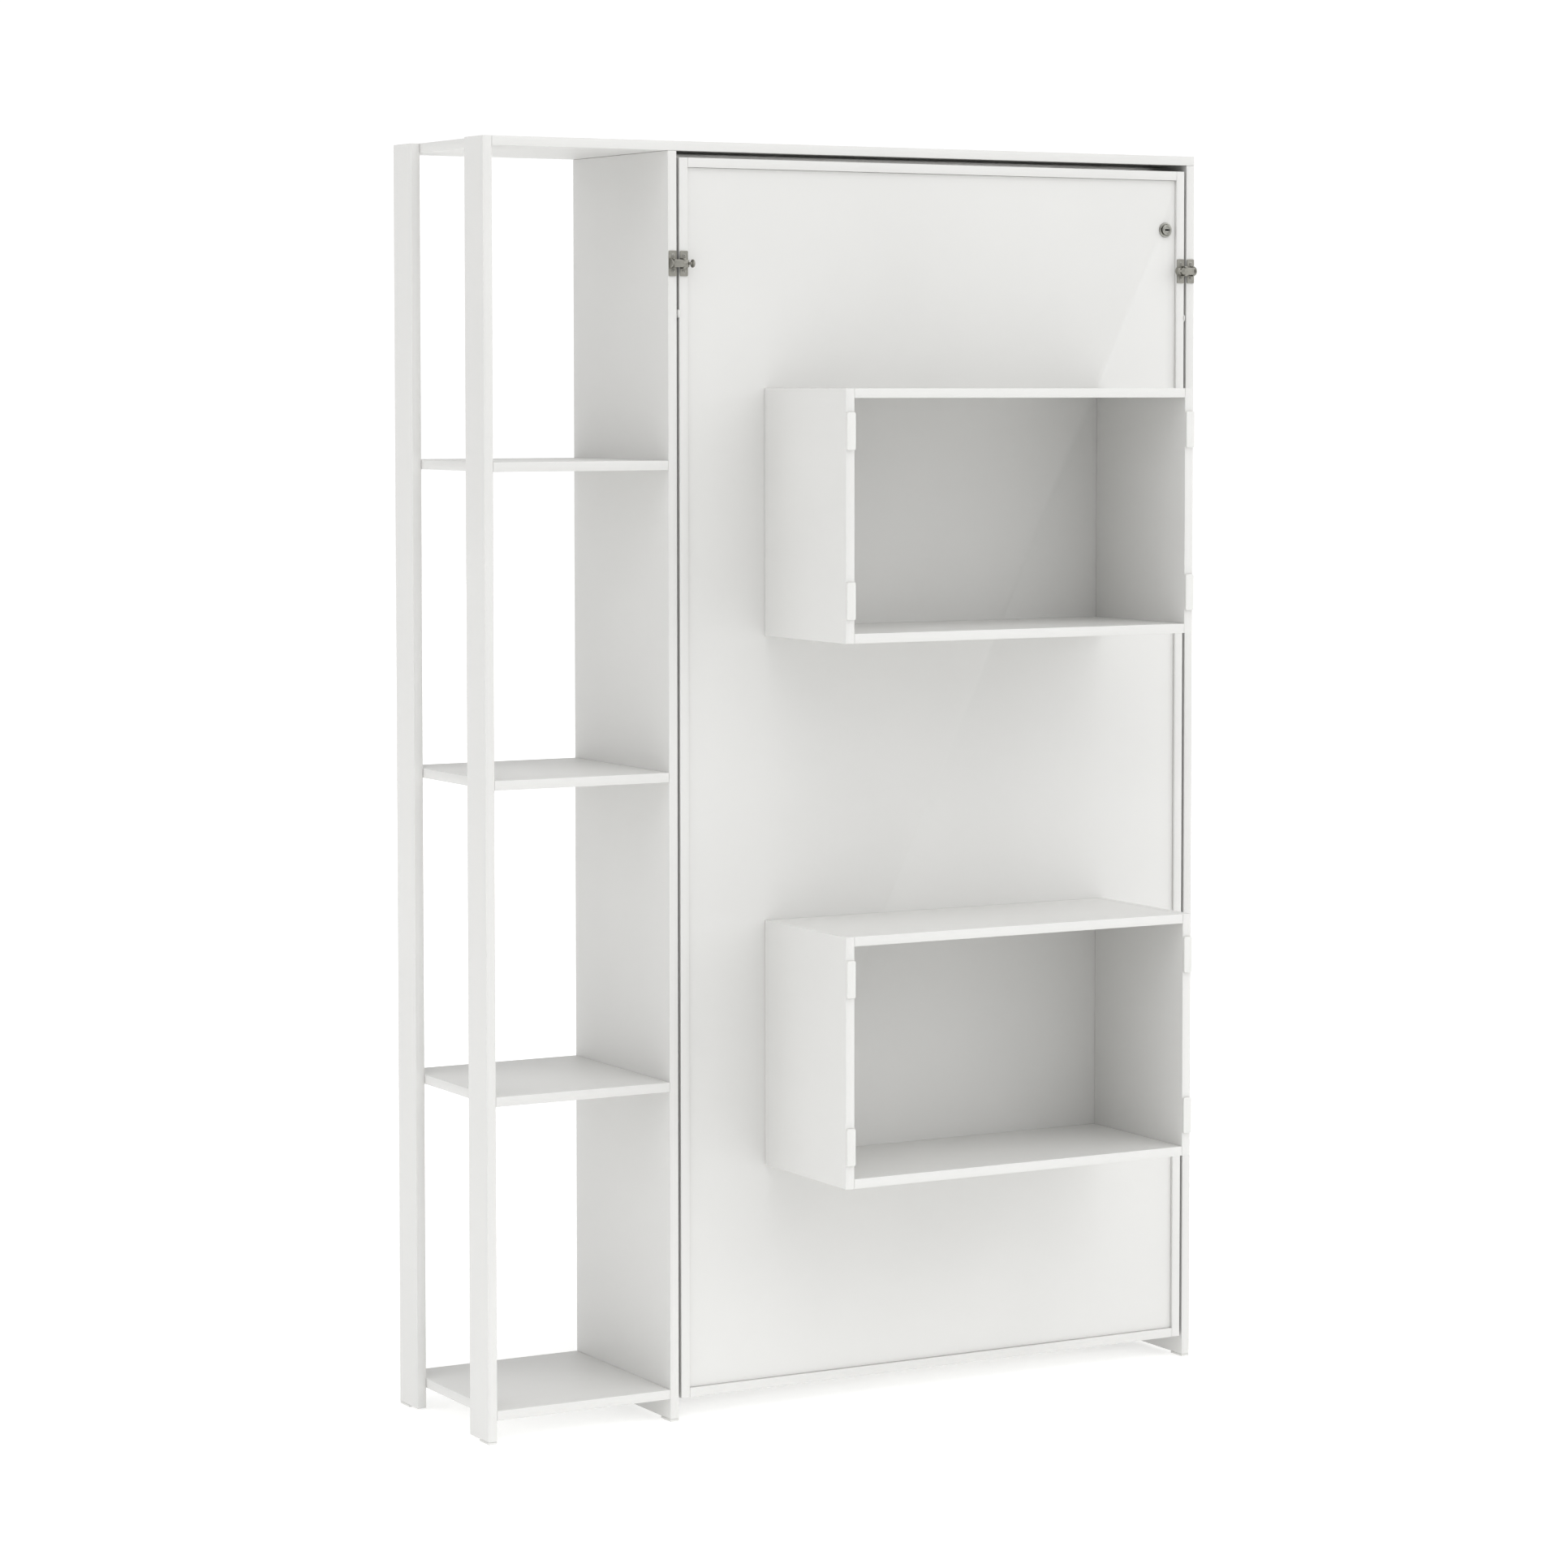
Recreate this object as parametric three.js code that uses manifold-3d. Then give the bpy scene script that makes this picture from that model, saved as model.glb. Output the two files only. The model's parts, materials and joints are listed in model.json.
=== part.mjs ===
// Wall bed with a side shelf unit: a cabinet, and in it a bed that is hinged near its lower end and
// folds down to the front. Two open cubbies on the bed's front are its legs when it is down.
//
// Millimetres, +Z up, +Y to the wall. The numbers below are measured from the cabinet's left outer
// face (X), its front edges (Y) and the floor (Z). The whole group is then moved, so that its origin
// is the middle of its footprint, on the floor.
import * as THREE from "three";
import { mergeVertices } from "three/addons/utils/BufferGeometryUtils.js";
import Module from "manifold-3d";

// ---------------------------------------------------------------- driving dimensions

const BOARD = 16; // laminated board
const SEAT = 0.3; // gap between two pieces that touch
const WIDTH = 1390;
const DEPTH = 355;
const HEIGHT = 2150;

const GLIDE = { height: 3.7, length: 35 };
const FLOOR_GAP = GLIDE.height + SEAT; // the panels' lower ends

const POST_DEPTH = 72;
const DIVIDER_X = 338; // left face of the divider between shelves and bed
const LOWEST_SHELF_TOP = 55;
const SHELF_PITCH = 521.5;
const SHELVES = ["bottom_shelf", "lower_shelf", "middle_shelf", "upper_shelf"];

const WALL_RAIL_HEIGHT = 100;
const BOTTOM_WALL_RAIL_Z = 40;
const STOP_RAIL = { y: 115, height: 32, drop: 16 }; // behind the foot rail, clear of the top panel

const BED = { gap: 5, bottom: 38, top: 2123, depth: 113, recess: 5 };
const CUBBY = { width: 682, height: 418, front: -272, lowerZ: 421, upperZ: 1322 };
const PAD = { length: 62, inset: 39, front: -277 };
const MATTRESS = { width: 900, length: 2000, bottom: 70, front: 57, back: 195, round: 22 };
const SLATS = { x: 385, bottom: 60, top: 1995, bearer: 24, y: [23, 45, 55], count: 15, height: 62 };

const PIVOT = { y: 45, z: 323, pin: 6, clear: 0.1, hole: 8, plate: 2.5, plateY: 62, plateZ: 84 };
const ARM = { plate: 4, reach: 110, inset: 6, halfHeight: 40, end: 14 };
const STRUT = {
  x: 395, // centre line, beside the mattress
  topY: 170,
  topZ: 900,
  tube: 10,
  tubeStart: 22,
  tubeEnd: 330,
  bore: 4.2,
  boreStart: 120,
  rod: 4,
  rodStart: 225,
  eye: 11,
  eyeWidth: 12,
  eyeBore: 4.3,
  neck: 5,
};
const BRACKET = { plate: 3, width: 50, height: 70, boss: 9, stud: 4.2 };

const LATCH = {
  z: 1947,
  plateWidth: 14.5,
  plateHeight: 42,
  plate: 1.5,
  tongue: { x: 343.4, end: 372, height: 13, front: -12, back: -8 },
  guide: { height: 19, front: -15 },
  keeper: { x: 339.5, end: 346, height: 18, front: -14, pocket: 3 },
  clear: 0.4,
  shank: 2,
  knob: { radius: 7, x: 376.5, end: 380.5 },
};
const LOCK = {
  x: 1332,
  z: 2019.4,
  flange: 13,
  flangeFront: 3,
  barrel: 9,
  barrelFront: -1,
  barrelEnd: 26,
  plug: 6,
  plugFront: -1.4,
  keyWidth: 9.5,
  keyHeight: 1.8,
  keyDepth: 6,
  clear: 0.1,
  tail: 6,
  tailEnd: 31,
  camY: [26.9, 29.9],
  camWidth: 12,
  camHub: 9,
  camReach: 50,
  camSlack: 0.5,
};

// ---------------------------------------------------------------- places worked out from them

const DIVIDER_INNER = DIVIDER_X + BOARD;
const RIGHT_INNER = WIDTH - BOARD;
const PANEL_TOP = HEIGHT - BOARD - SEAT;
const BED_X = [DIVIDER_INNER + BED.gap, RIGHT_INNER - BED.gap];
const BED_CENTRE = (BED_X[0] + BED_X[1]) / 2;
const PANEL_BACK = BED.recess + BOARD;
const CUBBY_X = [BED_CENTRE - CUBBY.width / 2, BED_CENTRE + CUBBY.width / 2];
const STUD = { y: PIVOT.y + ARM.reach, z: PIVOT.z };

// Pieces that come in a left and a right copy are drawn for the left and mirrored about the bed.
const SIDES = [
  { name: "left", at: (x) => x },
  { name: "right", at: (x) => 2 * BED_CENTRE - x },
];

// ---------------------------------------------------------------- finishes

const finish = (color, roughness, metalness = 0) =>
  new THREE.MeshStandardMaterial({ color, roughness, metalness });
const MELAMINE = finish(0xefefec, 0.5);
const WHITE_PLASTIC = finish(0xf2f2f0, 0.6);
const ZINC = finish(0x8f8d87, 0.45, 0.8);
const NICKEL = finish(0xb9b8b2, 0.3, 0.9);
const STEEL = finish(0x9a9c9e, 0.4, 0.9);
const BLACK_STEEL = finish(0x1b1c1e, 0.4, 0.5);
const CHROME = finish(0xd8dadc, 0.15, 1);
const BEECH = finish(0xd9b98a, 0.6);
const TICKING = finish(0xf0eee8, 0.9);

// ---------------------------------------------------------------- shapes

const wasm = await Module();
wasm.setup();

function solidOf(geometry) {
  const bare = geometry.clone();
  bare.deleteAttribute("normal");
  bare.deleteAttribute("uv");
  const merged = mergeVertices(bare);
  const vertProperties = Float32Array.from(merged.attributes.position.array);
  const triVerts = Uint32Array.from(merged.index.array);
  return new wasm.Manifold(new wasm.Mesh({ numProp: 3, vertProperties, triVerts }));
}

function geometryOf(solid) {
  const { vertProperties, triVerts } = solid.getMesh();
  const indexed = new THREE.BufferGeometry();
  indexed.setAttribute("position", new THREE.BufferAttribute(vertProperties, 3));
  indexed.setIndex(new THREE.BufferAttribute(triVerts, 1));
  const geometry = indexed.toNonIndexed();
  geometry.computeVertexNormals();
  return geometry;
}

function join(first, ...others) {
  return geometryOf(others.reduce((sum, other) => sum.add(solidOf(other)), solidOf(first)));
}

function cut(stock, ...tools) {
  return geometryOf(tools.reduce((left, tool) => left.subtract(solidOf(tool)), solidOf(stock)));
}

// A box between two values on each axis; the two may come in either order.
function block(x, y, z) {
  const size = [x, y, z].map(([a, b]) => Math.abs(b - a));
  const middle = [x, y, z].map(([a, b]) => (a + b) / 2);
  return new THREE.BoxGeometry(...size).translate(...middle);
}

// A round bar between two points.
function bar(from, to, radius, sides = 32) {
  const start = new THREE.Vector3(...from);
  const way = new THREE.Vector3(...to).sub(start);
  const turn = new THREE.Quaternion().setFromUnitVectors(
    new THREE.Vector3(0, 1, 0),
    way.clone().normalize(),
  );
  const middle = way.clone().multiplyScalar(0.5).add(start);
  return new THREE.CylinderGeometry(radius, radius, way.length(), sides)
    .applyQuaternion(turn)
    .translate(...middle);
}

const barAlongX = ([a, b], y, z, radius, sides) => bar([a, y, z], [b, y, z], radius, sides);
const barAlongY = ([a, b], x, z, radius, sides) => bar([x, a, z], [x, b, z], radius, sides);

function roundedRectangle([a0, a1], [b0, b1], r) {
  const outline = new THREE.Shape();
  outline.moveTo(a0 + r, b0);
  outline.lineTo(a1 - r, b0);
  outline.absarc(a1 - r, b0 + r, r, -Math.PI / 2, 0);
  outline.lineTo(a1, b1 - r);
  outline.absarc(a1 - r, b1 - r, r, 0, Math.PI / 2);
  outline.lineTo(a0 + r, b1);
  outline.absarc(a0 + r, b1 - r, r, Math.PI / 2, Math.PI);
  outline.lineTo(a0, b0 + r);
  outline.absarc(a0 + r, b0 + r, r, Math.PI, 1.5 * Math.PI);
  return outline;
}

// A plate with its outline in (Y, Z), lying between two X values.
function plateAcrossX(outline, x) {
  const low = Math.min(...x);
  const depth = Math.max(...x) - low;
  const across = new THREE.Matrix4().set(0, 0, 1, low, 1, 0, 0, 0, 0, 1, 0, 0, 0, 0, 0, 1);
  return new THREE.ExtrudeGeometry(outline, { depth, bevelEnabled: false, curveSegments: 6 })
    .applyMatrix4(across);
}

// A plate with its outline in (X, Z), lying between two Y values, with rounded edges if bevel > 0.
function plateAcrossY(outline, [front, back], bevel = 0) {
  const across = new THREE.Matrix4().set(1, 0, 0, 0, 0, 0, -1, back - bevel, 0, 1, 0, 0, 0, 0, 0, 1);
  return new THREE.ExtrudeGeometry(outline, {
    depth: back - front - 2 * bevel,
    bevelEnabled: bevel > 0,
    bevelThickness: bevel,
    bevelSize: bevel,
    bevelOffset: -bevel,
    bevelSegments: 3,
    curveSegments: 6,
  }).applyMatrix4(across);
}

const root = new THREE.Group();
root.name = "wall_bed";
root.position.set(-WIDTH / 2, -(DEPTH + PAD.front) / 2, 0);

function piece(name, material, geometry) {
  const mesh = new THREE.Mesh(geometry, material);
  mesh.name = name;
  root.add(mesh);
}

const board = (name, x, y, z) => piece(name, MELAMINE, block(x, y, z));

// ---------------------------------------------------------------- cabinet

const FULL_DEPTH = [0, DEPTH];
const BAY_X = [DIVIDER_INNER + SEAT, RIGHT_INNER - SEAT];

function cabinetBoards() {
  board("front_post", [0, BOARD], [0, POST_DEPTH], [FLOOR_GAP, HEIGHT]);
  board("back_post", [0, BOARD], [DEPTH - POST_DEPTH, DEPTH], [FLOOR_GAP, HEIGHT]);
  board("divider_panel", [DIVIDER_X, DIVIDER_INNER], FULL_DEPTH, [FLOOR_GAP, PANEL_TOP]);
  board("top_panel", [BOARD + SEAT, WIDTH], FULL_DEPTH, [HEIGHT - BOARD, HEIGHT]);
  SHELVES.forEach((name, i) => {
    const top = LOWEST_SHELF_TOP + i * SHELF_PITCH;
    board(name, [BOARD + SEAT, DIVIDER_X - SEAT], FULL_DEPTH, [top - BOARD, top]);
  });
  const stopY = [STOP_RAIL.y, STOP_RAIL.y + BOARD];
  const stopTop = PANEL_TOP - STOP_RAIL.drop;
  board("stop_rail", BAY_X, stopY, [stopTop - STOP_RAIL.height, stopTop]);
  const wallY = [DEPTH - BOARD, DEPTH];
  board("top_wall_rail", BAY_X, wallY, [PANEL_TOP - WALL_RAIL_HEIGHT, PANEL_TOP]);
  const lowZ = [BOTTOM_WALL_RAIL_Z, BOTTOM_WALL_RAIL_Z + WALL_RAIL_HEIGHT];
  board("bottom_wall_rail", BAY_X, wallY, lowZ);
}

// The right panel has a blind slot in its inner face for the tip of the lock's cam.
function rightPanel() {
  const panel = block([RIGHT_INNER, WIDTH], FULL_DEPTH, [FLOOR_GAP, PANEL_TOP]);
  piece("right_panel", MELAMINE, cut(panel, camSlot(RIGHT_INNER - 1, LOCK.x + LOCK.camReach + 2)));
}

function glides() {
  const front = [0, GLIDE.length];
  const rear = [DEPTH - GLIDE.length, DEPTH];
  const feet = { post: 0, divider: DIVIDER_X, right: RIGHT_INNER };
  for (const [name, x] of Object.entries(feet)) {
    for (const [end, y] of Object.entries({ front, rear })) {
      piece(`${name}_${end}_glide`, WHITE_PLASTIC, block([x, x + BOARD], y, [0, GLIDE.height]));
    }
  }
}

// ---------------------------------------------------------------- bed

const RAIL_Y = [0, BED.depth];
const RAIL_Z = [BED.bottom, BED.top];
const INNER_X = [BED_X[0] + BOARD, BED_X[1] - BOARD];
const BETWEEN_X = [INNER_X[0] + SEAT, INNER_X[1] - SEAT];

function bedBox() {
  board("head_rail", BETWEEN_X, RAIL_Y, [BED.bottom, BED.bottom + BOARD]);
  board("foot_rail", BETWEEN_X, RAIL_Y, [BED.top - BOARD, BED.top]);
  const panelZ = [BED.bottom + BOARD + SEAT, BED.top - BOARD - SEAT];
  const lockHole = barAlongY([BED.recess - 1, PANEL_BACK + 1], LOCK.x, LOCK.z, LOCK.barrel + SEAT);
  const panel = block(BETWEEN_X, [BED.recess, PANEL_BACK], panelZ);
  piece("front_panel", MELAMINE, cut(panel, lockHole));

  const leftRail = block([BED_X[0], INNER_X[0]], RAIL_Y, RAIL_Z);
  const rightRail = block([INNER_X[1], BED_X[1]], RAIL_Y, RAIL_Z);
  const across = ([a, b]) => [a - 1, b + 1];
  const hole = (x) => barAlongX(across(x), PIVOT.y, PIVOT.z, PIVOT.hole);
  piece("left_rail", MELAMINE, cut(leftRail, hole([BED_X[0], INNER_X[0]])));
  piece(
    "right_rail",
    MELAMINE,
    cut(rightRail, hole([INNER_X[1], BED_X[1]]), camSlot(INNER_X[1] - 1, BED_X[1] + 1)),
  );
}

// Two bearers with the slats glued across them, lying behind the front panel.
function slattedBase() {
  const [front, seat, back] = SLATS.y;
  const x = [SLATS.x, 2 * BED_CENTRE - SLATS.x];
  const z = [SLATS.bottom, SLATS.top];
  const bearers = [
    block([x[0], x[0] + SLATS.bearer], [front, seat], z),
    block([x[1] - SLATS.bearer, x[1]], [front, seat], z),
  ];
  const pitch = (SLATS.top - SLATS.bottom - SLATS.height) / (SLATS.count - 1);
  const slats = Array.from({ length: SLATS.count }, (_, i) => {
    const low = SLATS.bottom + i * pitch;
    return block(x, [seat - 1, back], [low, low + SLATS.height]);
  });
  piece("slatted_base", BEECH, join(...bearers, ...slats));
}

function mattress() {
  const x = [BED_CENTRE - MATTRESS.width / 2, BED_CENTRE + MATTRESS.width / 2];
  const z = [MATTRESS.bottom, MATTRESS.bottom + MATTRESS.length];
  const outline = roundedRectangle(x, z, 2 * MATTRESS.round);
  const y = [MATTRESS.front, MATTRESS.back];
  piece("mattress", TICKING, plateAcrossY(outline, y, MATTRESS.round));
}

// A cubby's side boards stand its full height, and its top and bottom boards lie between them.
// Its back is the bed's front panel. Each side board has two glide pads on its front edge.
function cubby(name, z) {
  const y = [CUBBY.front, BED.recess - SEAT];
  const top = z + CUBBY.height;
  const [left, right] = CUBBY_X;
  const between = [left + BOARD + SEAT, right - BOARD - SEAT];
  board(`${name}_cubby_top`, between, y, [top - BOARD, top]);
  board(`${name}_cubby_bottom`, between, y, [z, z + BOARD]);
  const padY = [PAD.front, CUBBY.front - SEAT];
  const padZ = {
    high: [top - PAD.inset - PAD.length, top - PAD.inset],
    low: [z + PAD.inset, z + PAD.inset + PAD.length],
  };
  for (const [side, x] of Object.entries({ left, right: right - BOARD })) {
    const boardX = [x, x + BOARD];
    board(`${name}_cubby_${side}`, boardX, y, [z, top]);
    for (const [height, span] of Object.entries(padZ)) {
      const pad = plateAcrossY(roundedRectangle(boardX, span, 3), padY);
      piece(`${name}_${side}_pad_${height}`, WHITE_PLASTIC, pad);
    }
  }
}

// ---------------------------------------------------------------- pivots and gas struts

// A plate on the cabinet with a headed pin. The pin passes the bed's rail in a wide hole and
// carries the arm plate, which is screwed to the rail's inner face.
function pivot({ name, at }) {
  const plateX = [DIVIDER_INNER + SEAT, DIVIDER_INNER + SEAT + PIVOT.plate];
  const armX = [INNER_X[0] + SEAT, INNER_X[0] + SEAT + ARM.plate];
  const headX = [armX[1] + SEAT, armX[1] + SEAT + PIVOT.plate];
  const outline = roundedRectangle(
    [PIVOT.y - PIVOT.plateY / 2, PIVOT.y + PIVOT.plateY / 2],
    [PIVOT.z - PIVOT.plateZ / 2, PIVOT.z + PIVOT.plateZ / 2],
    10,
  );
  const pin = barAlongX([plateX[0], headX[1]].map(at), PIVOT.y, PIVOT.z, PIVOT.pin, 48);
  const head = barAlongX(headX.map(at), PIVOT.y, PIVOT.z, PIVOT.hole);
  piece(`${name}_pivot_plate`, STEEL, join(plateAcrossX(outline, plateX.map(at)), pin, head));

  const arm = new THREE.Shape();
  const { halfHeight, end } = ARM;
  const front = PANEL_BACK + SEAT;
  const railBack = BED.depth - ARM.inset;
  arm.moveTo(front, PIVOT.z - halfHeight);
  arm.lineTo(railBack, PIVOT.z - halfHeight);
  arm.lineTo(STUD.y, STUD.z - end);
  arm.absarc(STUD.y, STUD.z, end, -Math.PI / 2, Math.PI / 2);
  arm.lineTo(railBack, PIVOT.z + halfHeight);
  arm.lineTo(front, PIVOT.z + halfHeight);
  const bore = barAlongX(
    [armX[0] - 1, armX[1] + 1].map(at),
    PIVOT.y,
    PIVOT.z,
    PIVOT.pin + PIVOT.clear,
    48,
  );
  const studX = [armX[0] + 1, STRUT.x - STRUT.eyeWidth / 2 - SEAT];
  const stud = barAlongX(studX.map(at), STUD.y, STUD.z, STRUT.neck);
  piece(`${name}_pivot_arm`, STEEL, cut(join(plateAcrossX(arm, armX.map(at)), stud), bore));
}

// The strut runs from the bracket on the cabinet to the stud on the arm. Its cylinder turns on the
// bracket's stud; its rod's end stands beside the arm's stud, which is where the linkage is open.
function gasStrut({ name, at }) {
  const x = at(STRUT.x);
  const way = new THREE.Vector2(STUD.y - STRUT.topY, STUD.z - STRUT.topZ);
  const length = way.length();
  way.normalize();
  const along = (s) => [x, STRUT.topY + s * way.x, STRUT.topZ + s * way.y];
  const eyeX = [STRUT.x - STRUT.eyeWidth / 2, STRUT.x + STRUT.eyeWidth / 2].map(at);
  const eyeBoreX = [eyeX[0] - Math.sign(eyeX[1] - eyeX[0]), eyeX[1] + Math.sign(eyeX[1] - eyeX[0])];

  const plateX = [DIVIDER_INNER + SEAT, DIVIDER_INNER + SEAT + BRACKET.plate];
  const bossX = [plateX[1] - 1, STRUT.x - STRUT.eyeWidth / 2 - SEAT];
  const studX = [bossX[1] - 1, STRUT.x + STRUT.eyeWidth / 2 + 2];
  const outline = roundedRectangle(
    [STRUT.topY - BRACKET.width / 2, STRUT.topY + BRACKET.width / 2],
    [STRUT.topZ - BRACKET.height / 2, STRUT.topZ + BRACKET.height / 2],
    8,
  );
  const bracket = join(
    plateAcrossX(outline, plateX.map(at)),
    barAlongX(bossX.map(at), STRUT.topY, STRUT.topZ, BRACKET.boss),
    barAlongX(studX.map(at), STRUT.topY, STRUT.topZ, BRACKET.stud),
  );
  piece(`${name}_strut_bracket`, STEEL, bracket);

  const cylinder = cut(
    join(
      bar(along(STRUT.tubeStart), along(STRUT.tubeEnd), STRUT.tube),
      bar(along(STRUT.neck), along(STRUT.tubeStart + 1), STRUT.neck),
      barAlongX(eyeX, STRUT.topY, STRUT.topZ, STRUT.eye),
    ),
    barAlongX(eyeBoreX, STRUT.topY, STRUT.topZ, STRUT.eyeBore),
    bar(along(STRUT.boreStart), along(STRUT.tubeEnd + 1), STRUT.bore),
  );
  piece(`${name}_strut_cylinder`, BLACK_STEEL, cylinder);

  const rod = join(
    bar(along(STRUT.rodStart), along(length), STRUT.rod),
    barAlongX(eyeX, STUD.y, STUD.z, STRUT.eye),
  );
  piece(`${name}_strut_rod`, CHROME, rod);
}

// ---------------------------------------------------------------- latches

// The bolt slides along X. At rest the end of its tongue stands in the keeper's pocket.
function latch({ name, at }) {
  const { z, tongue, guide, keeper, knob, clear } = LATCH;
  const around = (height) => [z - height / 2, z + height / 2];
  const plateY = [-SEAT - LATCH.plate, -SEAT];
  const middles = { strike: DIVIDER_X + BOARD / 2, body: BED_X[0] + BOARD / 2 };
  const plate = (middle) => {
    const x = [middle - LATCH.plateWidth / 2, middle + LATCH.plateWidth / 2].map(at);
    return block(x, plateY, around(LATCH.plateHeight));
  };
  const channel = (x) =>
    block(x.map(at), [tongue.front - clear, tongue.back + clear], around(tongue.height + 2 * clear));
  const blockY = (front) => [front, plateY[0] + 0.5];

  const keeperBlock = block([keeper.x, keeper.end].map(at), blockY(keeper.front), around(keeper.height));
  const pocket = channel([keeper.end - keeper.pocket, keeper.end + 1]);
  piece(`${name}_latch_strike`, ZINC, cut(join(plate(middles.strike), keeperBlock), pocket));

  const guideX = [middles.body - LATCH.plateWidth / 2, middles.body + LATCH.plateWidth / 2];
  const guideBlock = block(guideX.map(at), blockY(guide.front), around(guide.height));
  const way = channel([guideX[0] - 1, guideX[1] + 1]);
  piece(`${name}_latch_body`, ZINC, cut(join(plate(middles.body), guideBlock), way));

  const centreY = (tongue.front + tongue.back) / 2;
  const bolt = join(
    block([tongue.x, tongue.end].map(at), [tongue.front, tongue.back], around(tongue.height)),
    barAlongX([tongue.end - 1, knob.x + 1].map(at), centreY, z, LATCH.shank, 16),
    barAlongX([knob.x, knob.end].map(at), centreY, z, knob.radius),
  );
  piece(`${name}_latch_bolt`, ZINC, bolt);
}

// ---------------------------------------------------------------- lock

// The space that the cam's tip passes through between two X values, on its way from upright to
// pointing right.
function camSlot(from, to) {
  const low = LOCK.z - LOCK.camWidth / 2 - 2;
  const nearest = Math.max(from + 1 - LOCK.x, 0);
  const high = LOCK.z + Math.sqrt((LOCK.camReach + 1) ** 2 - nearest ** 2) + 2;
  const y = [LOCK.camY[0] - LOCK.camSlack, LOCK.camY[1] + LOCK.camSlack];
  return block([from, to], y, [low, high]);
}

function lock() {
  const { x, z } = LOCK;
  const housing = cut(
    join(
      barAlongY([LOCK.flangeFront, BED.recess - SEAT], x, z, LOCK.flange, 48),
      barAlongY([LOCK.barrelFront, LOCK.barrelEnd], x, z, LOCK.barrel, 48),
    ),
    barAlongY([LOCK.barrelFront - 1, LOCK.barrelEnd + 1], x, z, LOCK.plug + LOCK.clear, 48),
  );
  piece("lock_housing", NICKEL, housing);

  const half = LOCK.tail / 2;
  const plug = cut(
    join(
      barAlongY([LOCK.plugFront, LOCK.barrelEnd + SEAT], x, z, LOCK.plug, 48),
      block([x - half, x + half], [LOCK.barrelEnd, LOCK.tailEnd], [z - half, z + half]),
    ),
    block(
      [x - LOCK.keyWidth / 2, x + LOCK.keyWidth / 2],
      [LOCK.plugFront - 1, LOCK.plugFront + LOCK.keyDepth],
      [z - LOCK.keyHeight / 2, z + LOCK.keyHeight / 2],
    ),
  );
  piece("lock_plug", NICKEL, plug);

  const cam = new THREE.Shape();
  const side = LOCK.camWidth / 2;
  const tip = z + LOCK.camReach;
  cam.absarc(x, z, LOCK.camHub, Math.PI - 0.6, 2 * Math.PI + 0.6);
  cam.lineTo(x + side, tip - side);
  cam.lineTo(x + side - 3, tip);
  cam.lineTo(x - side + 3, tip);
  cam.lineTo(x - side, tip - side);
  const square = half + SEAT;
  const hole = block([x - square, x + square], [LOCK.barrelEnd, LOCK.tailEnd], [z - square, z + square]);
  piece("lock_cam", STEEL, cut(plateAcrossY(cam, LOCK.camY), hole));
}

// ---------------------------------------------------------------- the whole

cabinetBoards();
rightPanel();
glides();
bedBox();
slattedBase();
mattress();
cubby("lower", CUBBY.lowerZ);
cubby("upper", CUBBY.upperZ);
for (const side of SIDES) {
  pivot(side);
  gasStrut(side);
  latch(side);
}
lock();

export default root;
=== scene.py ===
import json
import math

import bmesh
import bpy
import numpy as np
from mathutils import Matrix, Vector


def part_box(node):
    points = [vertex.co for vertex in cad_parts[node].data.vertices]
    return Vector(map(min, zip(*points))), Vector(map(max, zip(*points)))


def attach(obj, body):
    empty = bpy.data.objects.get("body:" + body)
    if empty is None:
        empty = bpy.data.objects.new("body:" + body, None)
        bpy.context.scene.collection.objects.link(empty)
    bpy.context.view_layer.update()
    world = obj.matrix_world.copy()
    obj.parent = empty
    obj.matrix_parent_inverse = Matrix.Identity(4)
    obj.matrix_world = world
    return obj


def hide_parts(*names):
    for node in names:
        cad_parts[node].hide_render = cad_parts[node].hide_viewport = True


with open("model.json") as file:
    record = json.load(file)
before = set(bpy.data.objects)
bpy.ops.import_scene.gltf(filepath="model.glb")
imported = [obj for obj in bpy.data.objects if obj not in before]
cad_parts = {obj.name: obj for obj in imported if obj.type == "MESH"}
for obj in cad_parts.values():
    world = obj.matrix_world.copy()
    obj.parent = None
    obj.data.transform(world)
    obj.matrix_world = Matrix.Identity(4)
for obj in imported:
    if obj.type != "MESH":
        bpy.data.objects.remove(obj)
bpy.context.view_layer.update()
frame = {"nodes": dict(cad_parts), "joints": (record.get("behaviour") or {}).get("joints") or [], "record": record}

MM = 0.001
X_WAY = Vector((1, 0, 0))
Y_WAY = Vector((0, 1, 0))
Z_WAY = Vector((0, 0, 1))


# ------------------------------------------------------------------ studio

CAMERA_PLACE = (-3.7985, -6.6576, 1.7408)
CAMERA_TURN = 29.622  # degrees to the right of straight at the front
CAMERA_DIP = 3.2645
CAMERA_LENS = 102.72
CAMERA_SHIFT = (-0.0335, -0.09)


def camera():
    data = bpy.data.cameras.new("camera")
    data.lens = CAMERA_LENS
    data.sensor_width = 36
    data.shift_x, data.shift_y = CAMERA_SHIFT
    data.clip_end = 100
    eye = bpy.data.objects.new("camera", data)
    eye.location = CAMERA_PLACE
    eye.rotation_euler = (math.radians(90 - CAMERA_DIP), 0, math.radians(-CAMERA_TURN))
    bpy.context.scene.collection.objects.link(eye)
    bpy.context.scene.camera = eye


SOFT_LIGHTS = (  # degrees to the left of the front, degrees up, strength
    ("low_right", -60, 15, 1.30),
    ("low_left", 90, 15, 1.50),
    ("high_front", 0, 55, 1.80),
    ("high_behind", 200, 35, 0.80),
)
FILL_LIGHT = 0.25
SOFT_EDGE = 6.0  # the higher, the narrower each light
FLOOR_CORNERS = ((-30, -30), (30, -30), (30, 30), (-30, 30))
FLOOR_DROP = 0.3 * MM  # the floor lies a hair under the glides, so no two faces are level
FLOOR_GLOW = 0.45


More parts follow.
